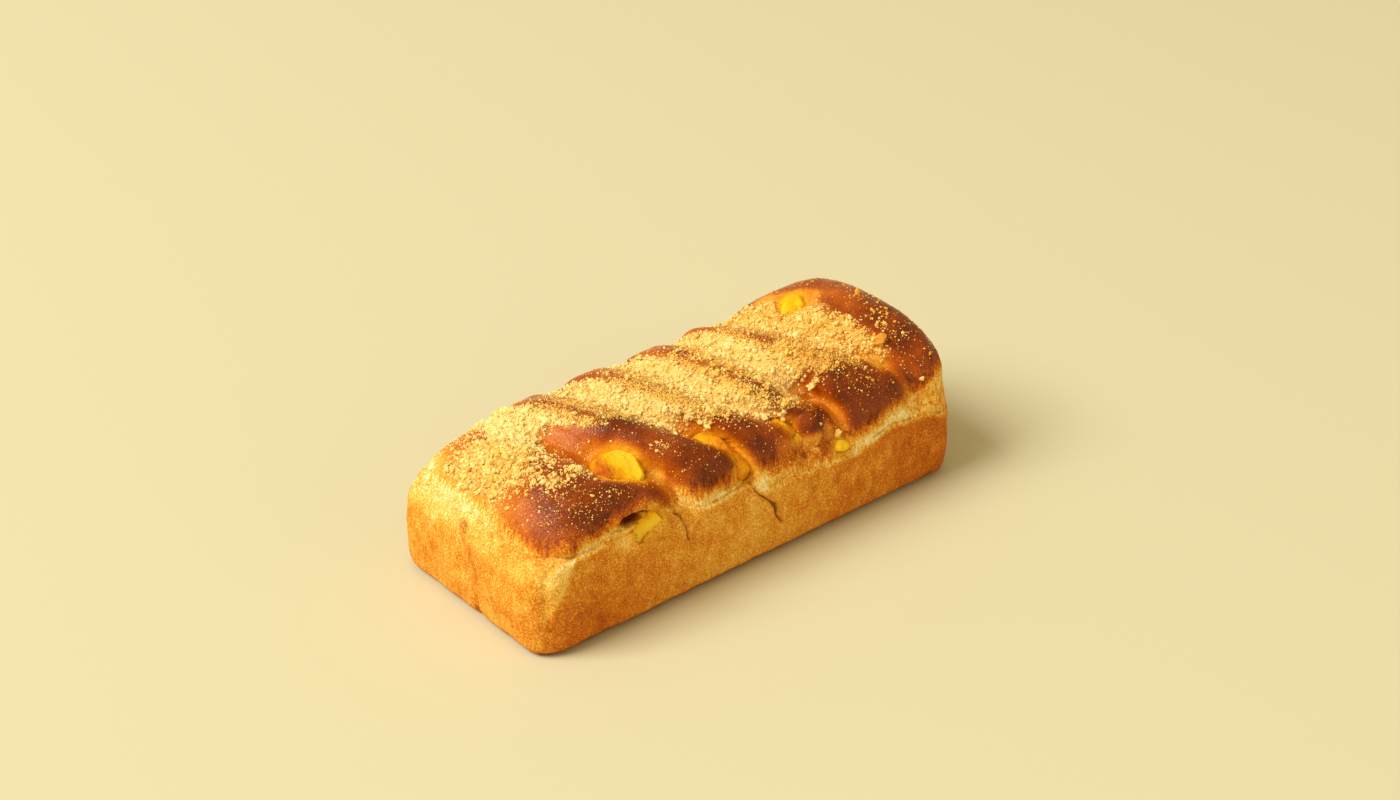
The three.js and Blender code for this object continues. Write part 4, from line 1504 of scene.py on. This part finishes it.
class BREAD_OT_chestnuts(bpy.types.Operator):
    """Tuck the chestnut pieces into the gaps of the crust"""

    bl_idname = "bread.chestnuts"
    bl_label = "Tuck in the chestnuts"

    def execute(self, context):
        settings = context.scene.bread_chestnuts
        material = chestnut_material(settings)
        for name in CHESTNUT_NODES:
            piece = make_chestnut(name, settings)
            dress(piece, material)
            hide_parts(name)
        return {"FINISHED"}


class BREAD_OT_streusel(bpy.types.Operator):
    """Scatter the butter streusel over the crust"""

    bl_idname = "bread.streusel"
    bl_label = "Scatter the streusel"

    def execute(self, context):
        loaf = bpy.data.objects.get("baked_loaf")
        if loaf is None:
            raise RuntimeError("The streusel lies on the loaf, so bake the loaf first")
        settings = context.scene.bread_streusel
        material = streusel_material(settings)
        for piece in make_streusel(loaf, settings):
            dress(piece, material)
        return {"FINISHED"}


class BREAD_OT_stage(bpy.types.Operator):
    """Set the floor, the lights and the camera"""

    bl_idname = "bread.stage"
    bl_label = "Set the stage"

    def execute(self, context):
        make_stage(context.scene.bread_stage)
        return {"FINISHED"}


class BREAD_PT_maker(bpy.types.Panel):
    """Lists the steps of making the chestnut bread"""

    bl_idname = "BREAD_PT_maker"
    bl_label = "Chestnut bread"
    bl_space_type = "VIEW_3D"
    bl_region_type = "UI"
    bl_category = "Bread"

    def draw(self, context):
        for operator in OPERATORS:
            self.layout.operator(operator.bl_idname)


SETTINGS = {
    "bread_loaf": BreadLoafSettings,
    "bread_chestnuts": BreadChestnutSettings,
    "bread_streusel": BreadStreuselSettings,
    "bread_stage": BreadStageSettings,
}
OPERATORS = (BREAD_OT_loaf, BREAD_OT_chestnuts, BREAD_OT_streusel, BREAD_OT_stage)


def register():
    for group in SETTINGS.values():
        bpy.utils.register_class(group)
    for name, group in SETTINGS.items():
        setattr(bpy.types.Scene, name, PointerProperty(type=group))
    for operator in OPERATORS:
        bpy.utils.register_class(operator)
    bpy.utils.register_class(BREAD_PT_maker)


def unregister():
    bpy.utils.unregister_class(BREAD_PT_maker)
    for operator in reversed(OPERATORS):
        bpy.utils.unregister_class(operator)
    for name in SETTINGS:
        delattr(bpy.types.Scene, name)
    for group in reversed(SETTINGS.values()):
        bpy.utils.unregister_class(group)


def main():
    register()
    bpy.ops.bread.loaf()
    bpy.ops.bread.chestnuts()
    bpy.ops.bread.streusel()
    bpy.ops.bread.stage()


if __name__ == "__main__":
    main()
